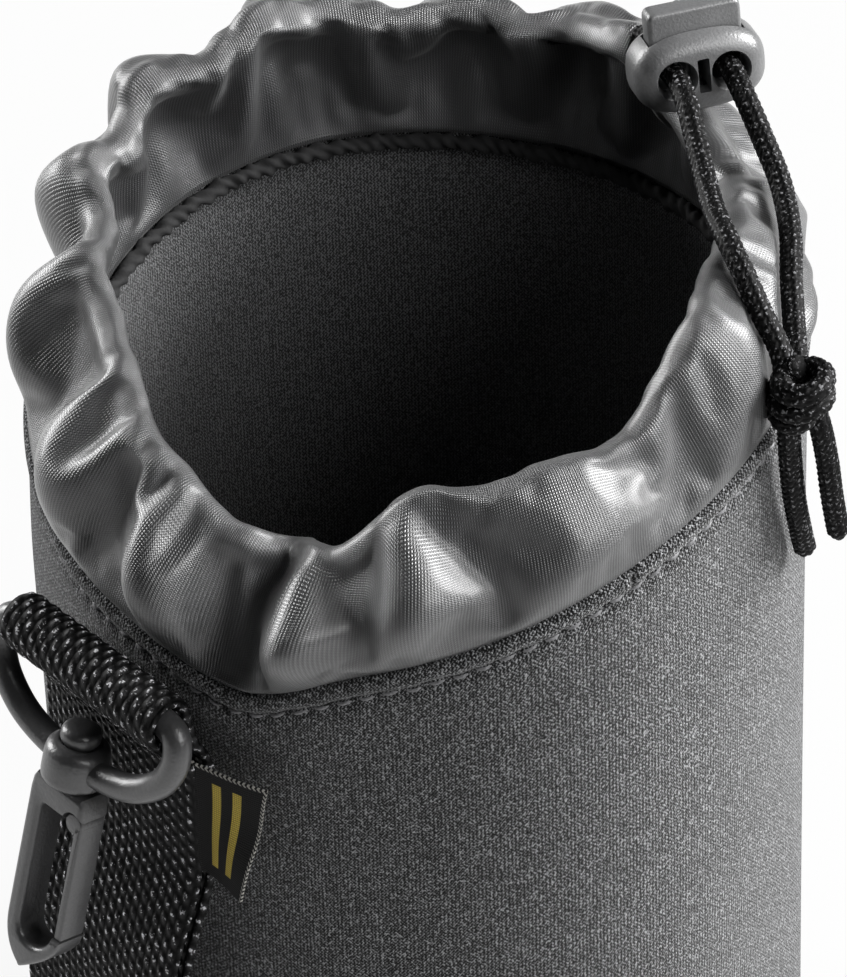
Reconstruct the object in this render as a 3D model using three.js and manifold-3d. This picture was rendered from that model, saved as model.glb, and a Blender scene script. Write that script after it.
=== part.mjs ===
// A padded lens pouch: a neoprene tube with a gathered nylon collar, a drawcord with its lock and knot,
// a belt strap down one side, and a swivel snap hook hung from the fold of that strap.
// Millimetres and degrees. The origin is the centre of the underside, +Z is up, the strap faces -Y.
// Angles around the pouch start at the strap and grow toward +X.

import * as THREE from "three";
import { mergeVertices } from "three/addons/utils/BufferGeometryUtils.js";
import Module from "manifold-3d";

const wasm = await Module();
wasm.setup();

// Gap kept between pieces that touch
const CLEARANCE = 0.3;
// Steps in which round pieces go once around the pouch
const STEPS_AROUND = 64;
// Steps of a rounded edge and of a curve in an outline
const EDGE_STEPS = 2;
const CURVE_STEPS = 6;
// Points closer than this are one point
const SAME_POINT = 1e-4;

// Neoprene tube and base
const BODY_DIAMETER = 120;
const BODY_HEIGHT = 172;
const WALL = 6;
const FOOT_ROUND = 4;
const BASE_THICKNESS = 6;
const SEAM_BEAD = 3;
const SEAM_SIDES = 6;

// The soft rim slants down toward the strap, sags like a saddle and dips where the collar is pushed over it
const RIM_SLANT = 9.7;
const RIM_SLANT_LOW_AT = -13;
const RIM_SADDLE = 4.7;
const RIM_SADDLE_LOW_AT = 13;
const RIM_DIP = 5;
const RIM_DIP_AT = 20;
const RIM_DIP_WIDTH = 12;

// Folded strip that binds the rim
const BINDING_THICKNESS = 1.2;
const BINDING_OUTER_LEG = 9;
const BINDING_INNER_LEG = 7;
const BINDING_CORNER = 1;

// Nylon collar, drawn in at the hem
const COLLAR_THICKNESS = 1.4;
const COLLAR_INSET = 2.6;
const COLLAR_BULGE = 4.5;
const COLLAR_POINTS = 5;
const HEM_MEAN_RADIUS = 50.5;
const HEM_OFFSET = 4.5;
const HEM_OFFSET_AT = 40;
const HEM_OVAL = 2;
const HEM_OVAL_AT = 135;
const HEM_RISE = 21;
const HEM_RISE_TILT = 3;
const HEM_RISE_LOW_AT = 48;
const HEM_SAG = 7;
const HEM_SAG_AT = 150;
const HEM_SAG_WIDTH = 32;
const HEM_WALL = 0.9;
const HEM_SIDES = 10;
const EXIT_ANGLE = 172.5;
const EXIT_WIDTH = 36;
const EXIT_DEPTH = 10;

// Drawcord, its knot and its lock: heights of places are measured from the mean rim
const CORD_DIAMETER = 4;
const CORD_FIT = 0.7;
const CORD_SIDES = 8;
const HEM_RUN_STEPS = 44;
const FEED_STEPS = 9;
const RUN_STEPS = 12;
const TAIL_STEPS = 4;
const KNOT_CENTRE = [60.8, 21.7, 18.9];
const KNOT_RADII = [5.2, 5.6, 5.6];
const KNOT_SIDES = 12;
const FEED_A_ROUTE = [
  [-11.2, 54.2, 26.5], [-8.2, 54.9, 27.6], [-4.8, 54.6, 29.2], [-2.2, 53.2, 30.2], [0.6, 51.8, 31],
];
const FEED_B_ROUTE = [
  [22.7, 45.3, 23.3], [15, 49, 21.6], [6, 53.6, 20.6], [-2, 58, 20.6], [-8, 62.2, 21.6],
  [-11.8, 65.3, 23.8], [-10.8, 66.6, 26.8], [-5.9, 64.8, 27.8], [-0.8, 62.2, 29.4], [4.6, 59.4, 31],
];
const RUN_A_ROUTE = [
  [0.9, 51.6, 31.1], [5.5, 49.2, 32.5], [10.2, 46.8, 33.9], [14.8, 44, 33.9], [20.5, 40.2, 32.3],
  [27.5, 35.4, 31.2], [34.2, 30.6, 32.1], [40.4, 26.8, 33.4], [46.4, 24.3, 31.6], [51.2, 23.2, 27.6],
  [56.3, 22.3, 22.9],
];
const RUN_B_ROUTE = [
  [4.9, 59.2, 31.1], [9.5, 56.8, 32.5], [14.2, 54.4, 33.9], [18.8, 52.1, 33.6], [25.2, 49.6, 30.5],
  [32.4, 46.4, 27.2], [39.5, 41.2, 25.2], [46, 34.8, 23.8], [51.8, 29.6, 20.8], [56.3, 25.7, 19.7],
];
const TAIL_A_ROUTE = [
  [59.6, 20.4, 12.6], [59.2, 21.2, 6], [58.8, 22.6, -4], [57.6, 25.6, -15], [56.6, 27.6, -20.5],
];
const TAIL_B_ROUTE = [[62.2, 24, 13.3], [63, 25.2, 5], [63.4, 26, -3], [64, 27.2, -12.5]];

// Cord lock: an oval barrel with two cord holes, a sprung button and a slot between the holes
const LOCK_CENTRE = [7.5, 53, 32.5];
const LOCK_HEADING = 62.5;
const LOCK_TILT = 15;
const LOCK_WIDTH = 21;
const LOCK_HEIGHT = 13.4;
const LOCK_DEPTH = 10;
const LOCK_ROUND = 2.6;
const LOCK_SQUARENESS = 2.6;
const LOCK_OUTLINE_POINTS = 28;
const LOCK_HOLE_SPACING = 8.6;
const LOCK_HOLE_DIAMETER = 5.6;
const LOCK_SLOT_WIDTH = 1.9;
const LOCK_SLOT_HEIGHT = 5.6;
const BUTTON_WIDTH = 14.8;
const BUTTON_DEPTH = 4;
const BUTTON_PROUD = 3.6;
const BUTTON_CORNER = 1.4;
const BUTTON_TRAVEL = 2.4;
const BUTTON_SILL = 0.8;
const BUTTON_POST = 0.75;
const SPRING_MEAN_RADIUS = 0.72;
const SPRING_WIRE = 0.44;
const SPRING_TURNS = 6;
const SPRING_STEPS_PER_TURN = 8;
const SPRING_SIDES = 5;

// Belt strap: one strip of webbing, doubled, with a fold at the top that holds the bar of the loop
const WEBBING_WIDTH = 34;
const WEBBING_THICKNESS = 2;
const LAYER_GAP = 1.2;
const STRAP_BOTTOM = 10;
const LOWER_TACK = 16;
const LOWER_RAMP = 20;
const BELT_GAP = 6;
const UPPER_RAMP = 30;
const UPPER_TACK = 18;
const TACK_BELOW_BAR = 13;
const PINCH_SHARE = 0.31;
const STRAP_STEPS = 5;
const FOLD_STEPS = 10;

// Woven side label, tucked between the two layers of the strap
const LABEL_TUCK = 4;
const LABEL_REACH = 12;
const LABEL_HEIGHT = 22.5;
const LABEL_BELOW_BAR = 22.5;
const LABEL_THICKNESS = 0.6;
const LABEL_DROOP = 3.6;

// Swivel snap hook: a loop on the fold's bar, a swivel boss, and a hook with a sprung gate
const BAR_BELOW_RIM = 19;
const BAR_STANDOFF = 7.5;
const BAR_DIAMETER = 5;
const LOOP_TILT = 16;
const LOOP_DROP = 16.5;
const LOOP_ARM_DIAMETER = 4.5;
const LOOP_SHOULDER_DROP = 6.5;
const LOOP_CORNER = 7.5;
const LOOP_ARM_STEPS = 20;
const BOSS_DIAMETER = 10.4;
const BOSS_HEIGHT = 7;
const POST_DIAMETER = 4.8;
const POST_HEAD_DIAMETER = 6.4;
const POST_HEAD_HEIGHT = 2.6;
const HOOK_WIDTH = 11.6;
const HOOK_LENGTH = 34.7;
const HOOK_DEPTH = 6;
const HOOK_EDGE = 0.6;
const HOOK_SHOULDER = 4.8;
const HOOK_SPINE = 2.8;
const HOOK_BOW = 5;
const HOOK_NOSE_HEIGHT = 8.6;
const GATE_THICKNESS = 1.5;
const GATE_DEPTH = 5;
const GATE_KNUCKLE_DIAMETER = 3.6;
const ROUND_SIDES = 24;

const BODY_RADIUS = BODY_DIAMETER / 2;
const INNER_RADIUS = BODY_RADIUS - WALL;
const CORD_RADIUS = CORD_DIAMETER / 2;
const CHANNEL_RADIUS = CORD_RADIUS + CORD_FIT;
const HEM_RADIUS = CHANNEL_RADIUS + HEM_WALL;
const BAR_HEIGHT = BODY_HEIGHT - BAR_BELOW_RIM;
const UPPER_TACK_TOP = BAR_HEIGHT - TACK_BELOW_BAR;
const UPPER_TACK_BOTTOM = UPPER_TACK_TOP - UPPER_TACK;
const BELT_GAP_TOP = UPPER_TACK_BOTTOM - UPPER_RAMP;
const LOWER_TACK_TOP = STRAP_BOTTOM + LOWER_TACK;
const BELT_GAP_BOTTOM = LOWER_TACK_TOP + LOWER_RAMP;
const BOSS_CENTRE = -LOOP_DROP;
const BOSS_BOTTOM = BOSS_CENTRE - BOSS_HEIGHT / 2;
const BOSS_TOP = BOSS_CENTRE + BOSS_HEIGHT / 2;

const radians = THREE.MathUtils.degToRad;
const cosine = (angle) => Math.cos(radians(angle));
const sine = (angle) => Math.sin(radians(angle));
const vector = (point) => new THREE.Vector3(...point);
// A place whose height is measured from the mean rim
const fromRim = ([x, y, height]) => new THREE.Vector3(x, y, BODY_HEIGHT + height);

// A point at a radius, an angle around the pouch and a height
function around(radius, angle, height) {
  return new THREE.Vector3(radius * sine(angle), -radius * cosine(angle), height);
}

// A bell of height 1 centred on an angle
function bell(angle, centre, width) {
  const away = THREE.MathUtils.radToDeg(Math.asin(sine((angle - centre) / 2))) * 2;
  return Math.exp(-((away / width) ** 2));
}

// Height of the rim around the pouch
function rimHeight(angle) {
  const slant = RIM_SLANT * cosine(angle - RIM_SLANT_LOW_AT);
  const saddle = RIM_SADDLE * cosine(2 * (angle - RIM_SADDLE_LOW_AT));
  return BODY_HEIGHT - slant - saddle - RIM_DIP * bell(angle, RIM_DIP_AT, RIM_DIP_WIDTH);
}

// Centre of the collar's hem around the pouch, as a radius and a height
function hemCentre(angle) {
  const offset = HEM_OFFSET * cosine(angle - HEM_OFFSET_AT);
  const oval = HEM_OVAL * cosine(2 * (angle - HEM_OVAL_AT));
  const rise = HEM_RISE - HEM_RISE_TILT * cosine(angle - HEM_RISE_LOW_AT);
  const sag = HEM_SAG * bell(angle, HEM_SAG_AT, HEM_SAG_WIDTH);
  return [HEM_MEAN_RADIUS - offset - oval, rimHeight(angle) + rise - sag];
}

// A closed solid whose section, listed anticlockwise as [radius, height] pairs, goes round the pouch
function ring(section) {
  const rows = [];
  for (let step = 0; step < STEPS_AROUND; step += 1) {
    const angle = (360 * step) / STEPS_AROUND;
    rows.push(section(angle).map(([radius, height]) => around(radius, angle, height)));
  }
  const columns = rows[0].length;
  const index = [];
  for (let row = 0; row < STEPS_AROUND; row += 1) {
    for (let column = 0; column < columns; column += 1) {
      const here = row * columns + column;
      const above = row * columns + ((column + 1) % columns);
      const ahead = ((row + 1) % STEPS_AROUND) * columns + column;
      const aheadAbove = ((row + 1) % STEPS_AROUND) * columns + ((column + 1) % columns);
      index.push(here, ahead, aheadAbove, here, aheadAbove, above);
    }
  }
  return new THREE.BufferGeometry().setFromPoints(rows.flat()).setIndex(index);
}

// A round section for a ring, about a centre given as a radius and a height
function roundSection(centre, radius, sides) {
  const [middle, height] = centre;
  return Array.from({ length: sides }, (_, side) => {
    const turn = (360 * side) / sides;
    return [middle + radius * cosine(turn), height + radius * sine(turn)];
  });
}

// A tube along a curve, with flat ends
function tube(curve, radius, sides, steps) {
  const section = new THREE.Shape(
    Array.from({ length: sides }, (_, side) => {
      const turn = (360 * side) / sides;
      return new THREE.Vector2(radius * cosine(turn), radius * sine(turn));
    }),
  );
  return new THREE.ExtrudeGeometry(section, { steps, extrudePath: curve });
}

// A tube along a smooth curve through points
function cord(route, steps) {
  const curve = new THREE.CatmullRomCurve3(route.map(fromRim), false, "centripetal");
  return tube(curve, CORD_RADIUS, CORD_SIDES, steps);
}

// Outline of a strip of even thickness along a line of [x, y] points
function stripShape(line, thickness) {
  const points = line.map(([x, y]) => new THREE.Vector2(x, y));
  const left = [];
  const right = [];
  points.forEach((point, place) => {
    const before = points[Math.max(place - 1, 0)];
    const after = points[Math.min(place + 1, points.length - 1)];
    const along = after.clone().sub(before).normalize();
    const across = new THREE.Vector2(-along.y, along.x).multiplyScalar(thickness / 2);
    left.push(point.clone().add(across));
    right.push(point.clone().sub(across));
  });
  return new THREE.Shape([...right, ...left.reverse()]);
}

// A shape given in X and Z, made thick along Y and centred on Y = 0
function slab(shape, depth, edge = 0) {
  const geometry = new THREE.ExtrudeGeometry(shape, {
    depth: depth - 2 * edge,
    bevelEnabled: edge > 0,
    bevelThickness: edge,
    bevelSize: edge,
    bevelOffset: -edge,
    bevelSegments: EDGE_STEPS,
    curveSegments: CURVE_STEPS,
  });
  return geometry.translate(0, 0, edge - depth / 2).rotateX(Math.PI / 2);
}

// A cylinder along Z from one height to another
function upright(diameter, bottom, top, sides = ROUND_SIDES) {
  const geometry = new THREE.CylinderGeometry(diameter / 2, diameter / 2, top - bottom, sides);
  return geometry.rotateX(Math.PI / 2).translate(0, 0, (top + bottom) / 2);
}

// A cylinder along Y through a point given in X and Z
function crosswise(diameter, length, x, z) {
  return new THREE.CylinderGeometry(diameter / 2, diameter / 2, length, ROUND_SIDES).translate(x, 0, z);
}

// A box between limits in X and Z, centred on Y = 0
function block(left, right, depth, bottom, top) {
  const geometry = new THREE.BoxGeometry(right - left, depth, top - bottom);
  return geometry.translate((left + right) / 2, 0, (bottom + top) / 2);
}

// A geometry as a solid that can be joined and cut
function solid(geometry) {
  const bare = geometry.clone();
  bare.deleteAttribute("normal");
  bare.deleteAttribute("uv");
  const merged = mergeVertices(bare, SAME_POINT);
  return new wasm.Manifold(
    new wasm.Mesh({
      numProp: 3,
      vertProperties: merged.attributes.position.array,
      triVerts: new Uint32Array(merged.index.array),
    }),
  );
}

// A joined and cut solid as a geometry
function shaped(made) {
  const mesh = made.getMesh();
  return new THREE.BufferGeometry()
    .setAttribute("position", new THREE.BufferAttribute(mesh.vertProperties, 3))
    .setIndex(new THREE.BufferAttribute(mesh.triVerts, 1));
}

// Materials of the real pieces: colour, roughness, metalness
const NEOPRENE = [0x2b2c2e, 0.95, 0];
const NYLON = [0x3a3b3e, 0.45, 0];
const WEBBING = [0x151516, 0.8, 0];
const BRAID = [0x1a1a1b, 0.75, 0];
const PLASTIC = [0x1d1e20, 0.4, 0];
const STEEL = [0x8c8f92, 0.35, 1];
const WOVEN = [0x101010, 0.8, 0];

function piece(name, geometry, [color, roughness, metalness]) {
  const mesh = new THREE.Mesh(geometry, new THREE.MeshStandardMaterial({ color, roughness, metalness }));
  mesh.name = name;
  return mesh;
}

// The tube, stepped in at the top to take the binding flush
function sideWall() {
  const step = BINDING_THICKNESS + CLEARANCE;
  return ring((angle) => {
    const rim = rimHeight(angle);
    const top = rim - step;
    const outerLedge = rim - BINDING_OUTER_LEG - CLEARANCE;
    const innerLedge = rim - BINDING_INNER_LEG - CLEARANCE;
    return [
      [INNER_RADIUS, 0],
      [BODY_RADIUS - FOOT_ROUND, 0],
      [BODY_RADIUS - FOOT_ROUND * (1 - sine(45)), FOOT_ROUND * (1 - cosine(45))],
      [BODY_RADIUS, FOOT_ROUND],
      [BODY_RADIUS, outerLedge],
      [BODY_RADIUS - step, outerLedge],
      [BODY_RADIUS - step, top],
      [INNER_RADIUS + step, top],
      [INNER_RADIUS + step, innerLedge],
      [INNER_RADIUS, innerLedge],
    ];
  });
}

// The strip folded over the top edge of the tube
function rimBinding() {
  return ring((angle) => {
    const rim = rimHeight(angle);
    const under = rim - BINDING_THICKNESS;
    const outside = BODY_RADIUS - BINDING_THICKNESS;
    const inside = INNER_RADIUS + BINDING_THICKNESS;
    return [
      [outside, rim - BINDING_OUTER_LEG],
      [BODY_RADIUS, rim - BINDING_OUTER_LEG],
      [BODY_RADIUS, rim - BINDING_CORNER],
      [BODY_RADIUS - BINDING_CORNER, rim],
      [INNER_RADIUS + BINDING_CORNER, rim],
      [INNER_RADIUS, rim - BINDING_CORNER],
      [INNER_RADIUS, rim - BINDING_INNER_LEG],
      [inside, rim - BINDING_INNER_LEG],
      [inside, under],
      [outside, under],
    ];
  });
}

// The overlocked seam that lies inside the rim, where collar and tube are sewn together
function rimSeam() {
  const reach = INNER_RADIUS - CLEARANCE - SEAM_BEAD / 2;
  return ring((angle) => roundSection([reach, rimHeight(angle) - SEAM_BEAD], SEAM_BEAD / 2, SEAM_SIDES));
}

function baseDisc() {
  return upright(2 * (INNER_RADIUS - CLEARANCE), 0, BASE_THICKNESS, STEPS_AROUND);
}

// The overlocked seam in the corner of base and tube
function baseSeam() {
  const reach = INNER_RADIUS - CLEARANCE - SEAM_BEAD / 2;
  const height = BASE_THICKNESS + CLEARANCE + SEAM_BEAD / 2;
  return ring(() => roundSection([reach, height], SEAM_BEAD / 2, SEAM_SIDES));
}

// The collar's skirt from rim to hem, a thin wall along a bulging curve
function collarSkirt() {
  return ring((angle) => {
    const foot = new THREE.Vector2(BODY_RADIUS - COLLAR_INSET, rimHeight(angle) + CLEARANCE);
    const hem = new THREE.Vector2(...hemCentre(angle));
    const belly = new THREE.Vector2(foot.x + COLLAR_BULGE, (foot.y + hem.y) / 2);
    const curve = new THREE.QuadraticBezierCurve(foot, belly, hem);
    const outer = [];
    const inner = [];
    for (let place = 0; place < COLLAR_POINTS; place += 1) {
      const share = place / (COLLAR_POINTS - 1);
      const along = place === 0 ? new THREE.Vector2(0, 1) : curve.getTangent(share);
      const across = new THREE.Vector2(along.y, -along.x).multiplyScalar(COLLAR_THICKNESS / 2);
      const point = curve.getPoint(share);
      outer.push(point.clone().add(across).toArray());
      inner.push(point.clone().sub(across).toArray());
    }
    return [...outer, ...inner.reverse()];
  });
}

// The opening in the hem where both ends of the drawcord come out
function exitCut() {
  const [middle, height] = hemCentre(EXIT_ANGLE);
  const reach = 3 * (EXIT_DEPTH + HEM_RADIUS);
  const geometry = new THREE.BoxGeometry(EXIT_WIDTH, reach, reach);
  geometry.translate(0, -middle, height - EXIT_DEPTH + reach / 2);
  return geometry.rotateZ(radians(EXIT_ANGLE));
}

function collar() {
  const hem = ring((angle) => roundSection(hemCentre(angle), HEM_RADIUS, HEM_SIDES));
  const channel = ring((angle) => roundSection(hemCentre(angle), CHANNEL_RADIUS, CORD_SIDES));
  return shaped(solid(collarSkirt()).add(solid(hem)).subtract(solid(channel)).subtract(solid(exitCut())));
}

// Angle by which the hem's opening reaches to each side of its middle
function exitHalfAngle() {
  const [middle] = hemCentre(EXIT_ANGLE);
  return THREE.MathUtils.radToDeg(Math.asin(EXIT_WIDTH / 2 / middle));
}

// The part of the drawcord that lies in the hem
function hemRun() {
  const start = EXIT_ANGLE + exitHalfAngle();
  const sweep = 360 - 2 * exitHalfAngle();
  const points = [];
  for (let step = 0; step <= HEM_RUN_STEPS; step += 1) {
    const angle = start + (sweep * step) / HEM_RUN_STEPS;
    const [radius, height] = hemCentre(angle);
    points.push(around(radius, angle, height));
  }
  return tube(new THREE.CatmullRomCurve3(points), CORD_RADIUS, CORD_SIDES, HEM_RUN_STEPS);
}

// The overhand knot that ties both cord ends together
function knot() {
  const geometry = new THREE.SphereGeometry(1, KNOT_SIDES, KNOT_SIDES / 2);
  return geometry.scale(...KNOT_RADII).translate(...fromRim(KNOT_CENTRE));
}

// A flattened oval in X and Z
function ovalShape(halfWidth, halfHeight) {
  const round = (value) => Math.sign(value) * Math.abs(value) ** (2 / LOCK_SQUARENESS);
  return new THREE.Shape(
    Array.from({ length: LOCK_OUTLINE_POINTS }, (_, place) => {
      const turn = (360 * place) / LOCK_OUTLINE_POINTS;
      return new THREE.Vector2(halfWidth * round(cosine(turn)), halfHeight * round(sine(turn)));
    }),
  );
}

// Heights inside the lock, from the line of its cord holes
const LOCK_HALF_HEIGHT = LOCK_HEIGHT / 2;
const SILL_TOP = -CORD_RADIUS - CLEARANCE;
const BUTTON_BOTTOM = SILL_TOP - BUTTON_SILL;
const POCKET_BOTTOM = BUTTON_BOTTOM - BUTTON_TRAVEL - CLEARANCE;
const WINDOW_TOP = CORD_RADIUS + BUTTON_TRAVEL + CLEARANCE;
const SPRING_BOTTOM = POCKET_BOTTOM + CLEARANCE;
const SPRING_ROOM = SPRING_MEAN_RADIUS + SPRING_WIRE / 2 + CLEARANCE;

function lockBody() {
  const half = LOCK_HOLE_SPACING / 2;
  const pocket = BUTTON_WIDTH / 2 + CLEARANCE;
  const oval = ovalShape(LOCK_WIDTH / 2, LOCK_HALF_HEIGHT);
  const slotHalf = LOCK_SLOT_WIDTH / 2;
  const slotTop = LOCK_SLOT_HEIGHT / 2;
  return shaped(
    solid(slab(oval, LOCK_DEPTH, LOCK_ROUND))
      .subtract(solid(crosswise(LOCK_HOLE_DIAMETER, 2 * LOCK_DEPTH, -half, 0)))
      .subtract(solid(crosswise(LOCK_HOLE_DIAMETER, 2 * LOCK_DEPTH, half, 0)))
      .subtract(solid(block(-slotHalf, slotHalf, 2 * LOCK_DEPTH, -slotTop, slotTop)))
      .subtract(solid(block(-pocket, pocket, BUTTON_DEPTH + 2 * CLEARANCE, POCKET_BOTTOM, LOCK_HEIGHT))),
  );
}

// The button: a plate with a window for each cord and a notch for the spring
function lockButton() {
  const half = BUTTON_WIDTH / 2;
  const top = LOCK_HALF_HEIGHT + BUTTON_PROUD;
  const outline = new THREE.Shape();
  outline.moveTo(-half, BUTTON_BOTTOM);
  outline.lineTo(half, BUTTON_BOTTOM);
  outline.lineTo(half, top - BUTTON_CORNER);
  outline.quadraticCurveTo(half, top, half - BUTTON_CORNER, top);
  outline.lineTo(-half + BUTTON_CORNER, top);
  outline.quadraticCurveTo(-half, top, -half, top - BUTTON_CORNER);
  const through = 2 * BUTTON_DEPTH;
  const inner = SPRING_ROOM + BUTTON_POST;
  const outer = half - BUTTON_POST;
  return shaped(
    solid(slab(outline, BUTTON_DEPTH))
      .subtract(solid(block(-outer, -inner, through, SILL_TOP, WINDOW_TOP)))
      .subtract(solid(block(inner, outer, through, SILL_TOP, WINDOW_TOP)))
      .subtract(solid(block(-SPRING_ROOM, SPRING_ROOM, through, POCKET_BOTTOM, WINDOW_TOP))),
  );
}

// Centre line of the button's coil spring: straight wire ends and even turns between them
function springLine() {
  const bottom = SPRING_BOTTOM + SPRING_WIRE;
  const top = WINDOW_TOP - CLEARANCE - SPRING_WIRE;
  const steps = SPRING_TURNS * SPRING_STEPS_PER_TURN;
  const points = [new THREE.Vector3(SPRING_MEAN_RADIUS, 0, SPRING_BOTTOM)];
  for (let step = 0; step <= steps; step += 1) {
    const turn = (360 * step) / SPRING_STEPS_PER_TURN;
    const height = THREE.MathUtils.lerp(bottom, top, step / steps);
    const across = SPRING_MEAN_RADIUS * cosine(turn);
    points.push(new THREE.Vector3(across, SPRING_MEAN_RADIUS * sine(turn), height));
  }
  points.push(new THREE.Vector3(SPRING_MEAN_RADIUS, 0, WINDOW_TOP - CLEARANCE));
  return points;
}

// Least gap of a wound wire to itself, measured between points at least half a turn apart
function leastGap(points, wire, stepsPerTurn) {
  let least = Infinity;
  points.forEach((point, place) => {
    points.slice(place + Math.ceil(stepsPerTurn / 2)).forEach((other) => {
      least = Math.min(least, point.distanceTo(other) - wire);
    });
  });
  return least;
}

function lockSpring() {
  const points = springLine();
  console.log("spring gap", leastGap(points, SPRING_WIRE, SPRING_STEPS_PER_TURN).toFixed(2), "mm");
  const curve = new THREE.CatmullRomCurve3(points, false, "centripetal");
  return tube(curve, SPRING_WIRE / 2, SPRING_SIDES, points.length - 1);
}

// Lines of the strap's two layers, as [distance from the tube, height], and the fold between them
const INNER_LAYER = CLEARANCE + WEBBING_THICKNESS / 2;
const LAYER_STEP = WEBBING_THICKNESS + LAYER_GAP;
const FOLD_RADIUS = BAR_DIAMETER / 2 + CLEARANCE + WEBBING_THICKNESS / 2;

// How far the strap stands off the tube to let a belt through
function beltBow(height) {
  const rise = THREE.MathUtils.smoothstep(height, LOWER_TACK_TOP, BELT_GAP_BOTTOM);
  const fall = THREE.MathUtils.smoothstep(height, BELT_GAP_TOP, UPPER_TACK_BOTTOM);
  return BELT_GAP * (rise - fall);
}

// Heights where the lower layers of the strap bend
function strapHeights() {
  const heights = [STRAP_BOTTOM];
  for (let step = 0; step <= STRAP_STEPS; step += 1) {
    heights.push(THREE.MathUtils.lerp(LOWER_TACK_TOP, BELT_GAP_BOTTOM, step / STRAP_STEPS));
  }
  for (let step = 0; step <= STRAP_STEPS; step += 1) {
    heights.push(THREE.MathUtils.lerp(BELT_GAP_TOP, UPPER_TACK_BOTTOM, step / STRAP_STEPS));
  }
  heights.push(UPPER_TACK_TOP);
  return heights;
}

// Angle, about the bar, at which a straight run from a point meets the fold on its outer (+1) or inner side
function tangentAngle(away, height, side) {
  const across = BAR_STANDOFF - away;
  const up = BAR_HEIGHT - height;
  const reach = Math.hypot(across, up);
  const toCentre = Math.atan2(up, across);
  return toCentre + Math.PI + side * Math.acos(FOLD_RADIUS / reach);
}

function beltStrap() {
  const heights = strapHeights();
  const inner = heights.map((height) => [INNER_LAYER + beltBow(height), height]);
  const outer = inner.map(([away, height]) => [away + LAYER_STEP, height]).reverse();
  const innerMeets = tangentAngle(INNER_LAYER, UPPER_TACK_TOP, -1);
  const pinchHeight = UPPER_TACK_TOP + PINCH_SHARE * TACK_BELOW_BAR;
  const pinch = INNER_LAYER + LAYER_STEP + PINCH_SHARE * (BAR_STANDOFF - FOLD_RADIUS - INNER_LAYER);
  const outerMeets = tangentAngle(pinch, pinchHeight, 1) - 2 * Math.PI;
  const fold = [];
  for (let step = 0; step <= FOLD_STEPS; step += 1) {
    const turn = THREE.MathUtils.lerp(innerMeets, outerMeets, step / FOLD_STEPS);
    fold.push([BAR_STANDOFF + FOLD_RADIUS * Math.cos(turn), BAR_HEIGHT + FOLD_RADIUS * Math.sin(turn)]);
  }
  const line = [...inner, ...fold, [pinch, pinchHeight], ...outer];
  const geometry = slab(stripShape(line, WEBBING_THICKNESS), WEBBING_WIDTH);
  return geometry.rotateZ(-Math.PI / 2).translate(0, -BODY_RADIUS, 0);
}

// The label comes out of the strap's edge and droops toward the tube
function sideLabel() {
  const edge = WEBBING_WIDTH / 2;
  const away = BODY_RADIUS + CLEARANCE + WEBBING_THICKNESS + LAYER_GAP / 2;
  const line = [
    [edge - LABEL_TUCK, -away],
    [edge + CLEARANCE, -away],
    [edge + LABEL_REACH / 2, -away + LABEL_DROOP / 3],
    [edge + LABEL_REACH, -away + LABEL_DROOP],
  ];
  const shape = stripShape(line, LABEL_THICKNESS);
  const geometry = new THREE.ExtrudeGeometry(shape, { depth: LABEL_HEIGHT, bevelEnabled: false });
  return geometry.translate(0, 0, BAR_HEIGHT - LABEL_BELOW_BAR - LABEL_HEIGHT / 2);
}

// The D-shaped loop: bar, two arms and the swivel boss, hung from the bar's centre
function hookLoop() {
  const armX = WEBBING_WIDTH / 2 + CLEARANCE + LOOP_ARM_DIAMETER / 2;
  const arms = new THREE.CatmullRomCurve3(
    [
      [-armX, 0, 0],
      [-armX, 0, -LOOP_SHOULDER_DROP],
      [LOOP_CORNER - armX, 0, BOSS_CENTRE + LOOP_ARM_DIAMETER / 2],
      [0, 0, BOSS_CENTRE],
      [armX - LOOP_CORNER, 0, BOSS_CENTRE + LOOP_ARM_DIAMETER / 2],
      [armX, 0, -LOOP_SHOULDER_DROP],
      [armX, 0, 0],
    ].map(vector),
    false,
    "centripetal",
  );
  const bar = upright(BAR_DIAMETER, -armX - LOOP_ARM_DIAMETER / 2, armX + LOOP_ARM_DIAMETER / 2);
  return shaped(
    solid(bar.rotateY(Math.PI / 2))
      .add(solid(tube(arms, LOOP_ARM_DIAMETER / 2, ROUND_SIDES / 2, LOOP_ARM_STEPS)))
      .add(solid(upright(BOSS_DIAMETER, BOSS_BOTTOM, BOSS_TOP)))
      .subtract(solid(upright(POST_DIAMETER + 2 * CLEARANCE, 2 * BOSS_BOTTOM, 0))),
  );
}

// Places on the hook, in the loop's frame
const HOOK_TOP = BOSS_BOTTOM - CLEARANCE;
const HOOK_TIP = HOOK_TOP - HOOK_LENGTH;
const HOOK_HALF = HOOK_WIDTH / 2;
const EYE_TOP = HOOK_TOP - HOOK_SHOULDER;
const NOSE_TOP = HOOK_TIP + HOOK_NOSE_HEIGHT;
const GATE_X = HOOK_HALF - GATE_THICKNESS / 2;
const KNUCKLE_X = HOOK_HALF - GATE_KNUCKLE_DIAMETER / 2;
const KNUCKLE_Z = EYE_TOP;

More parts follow.
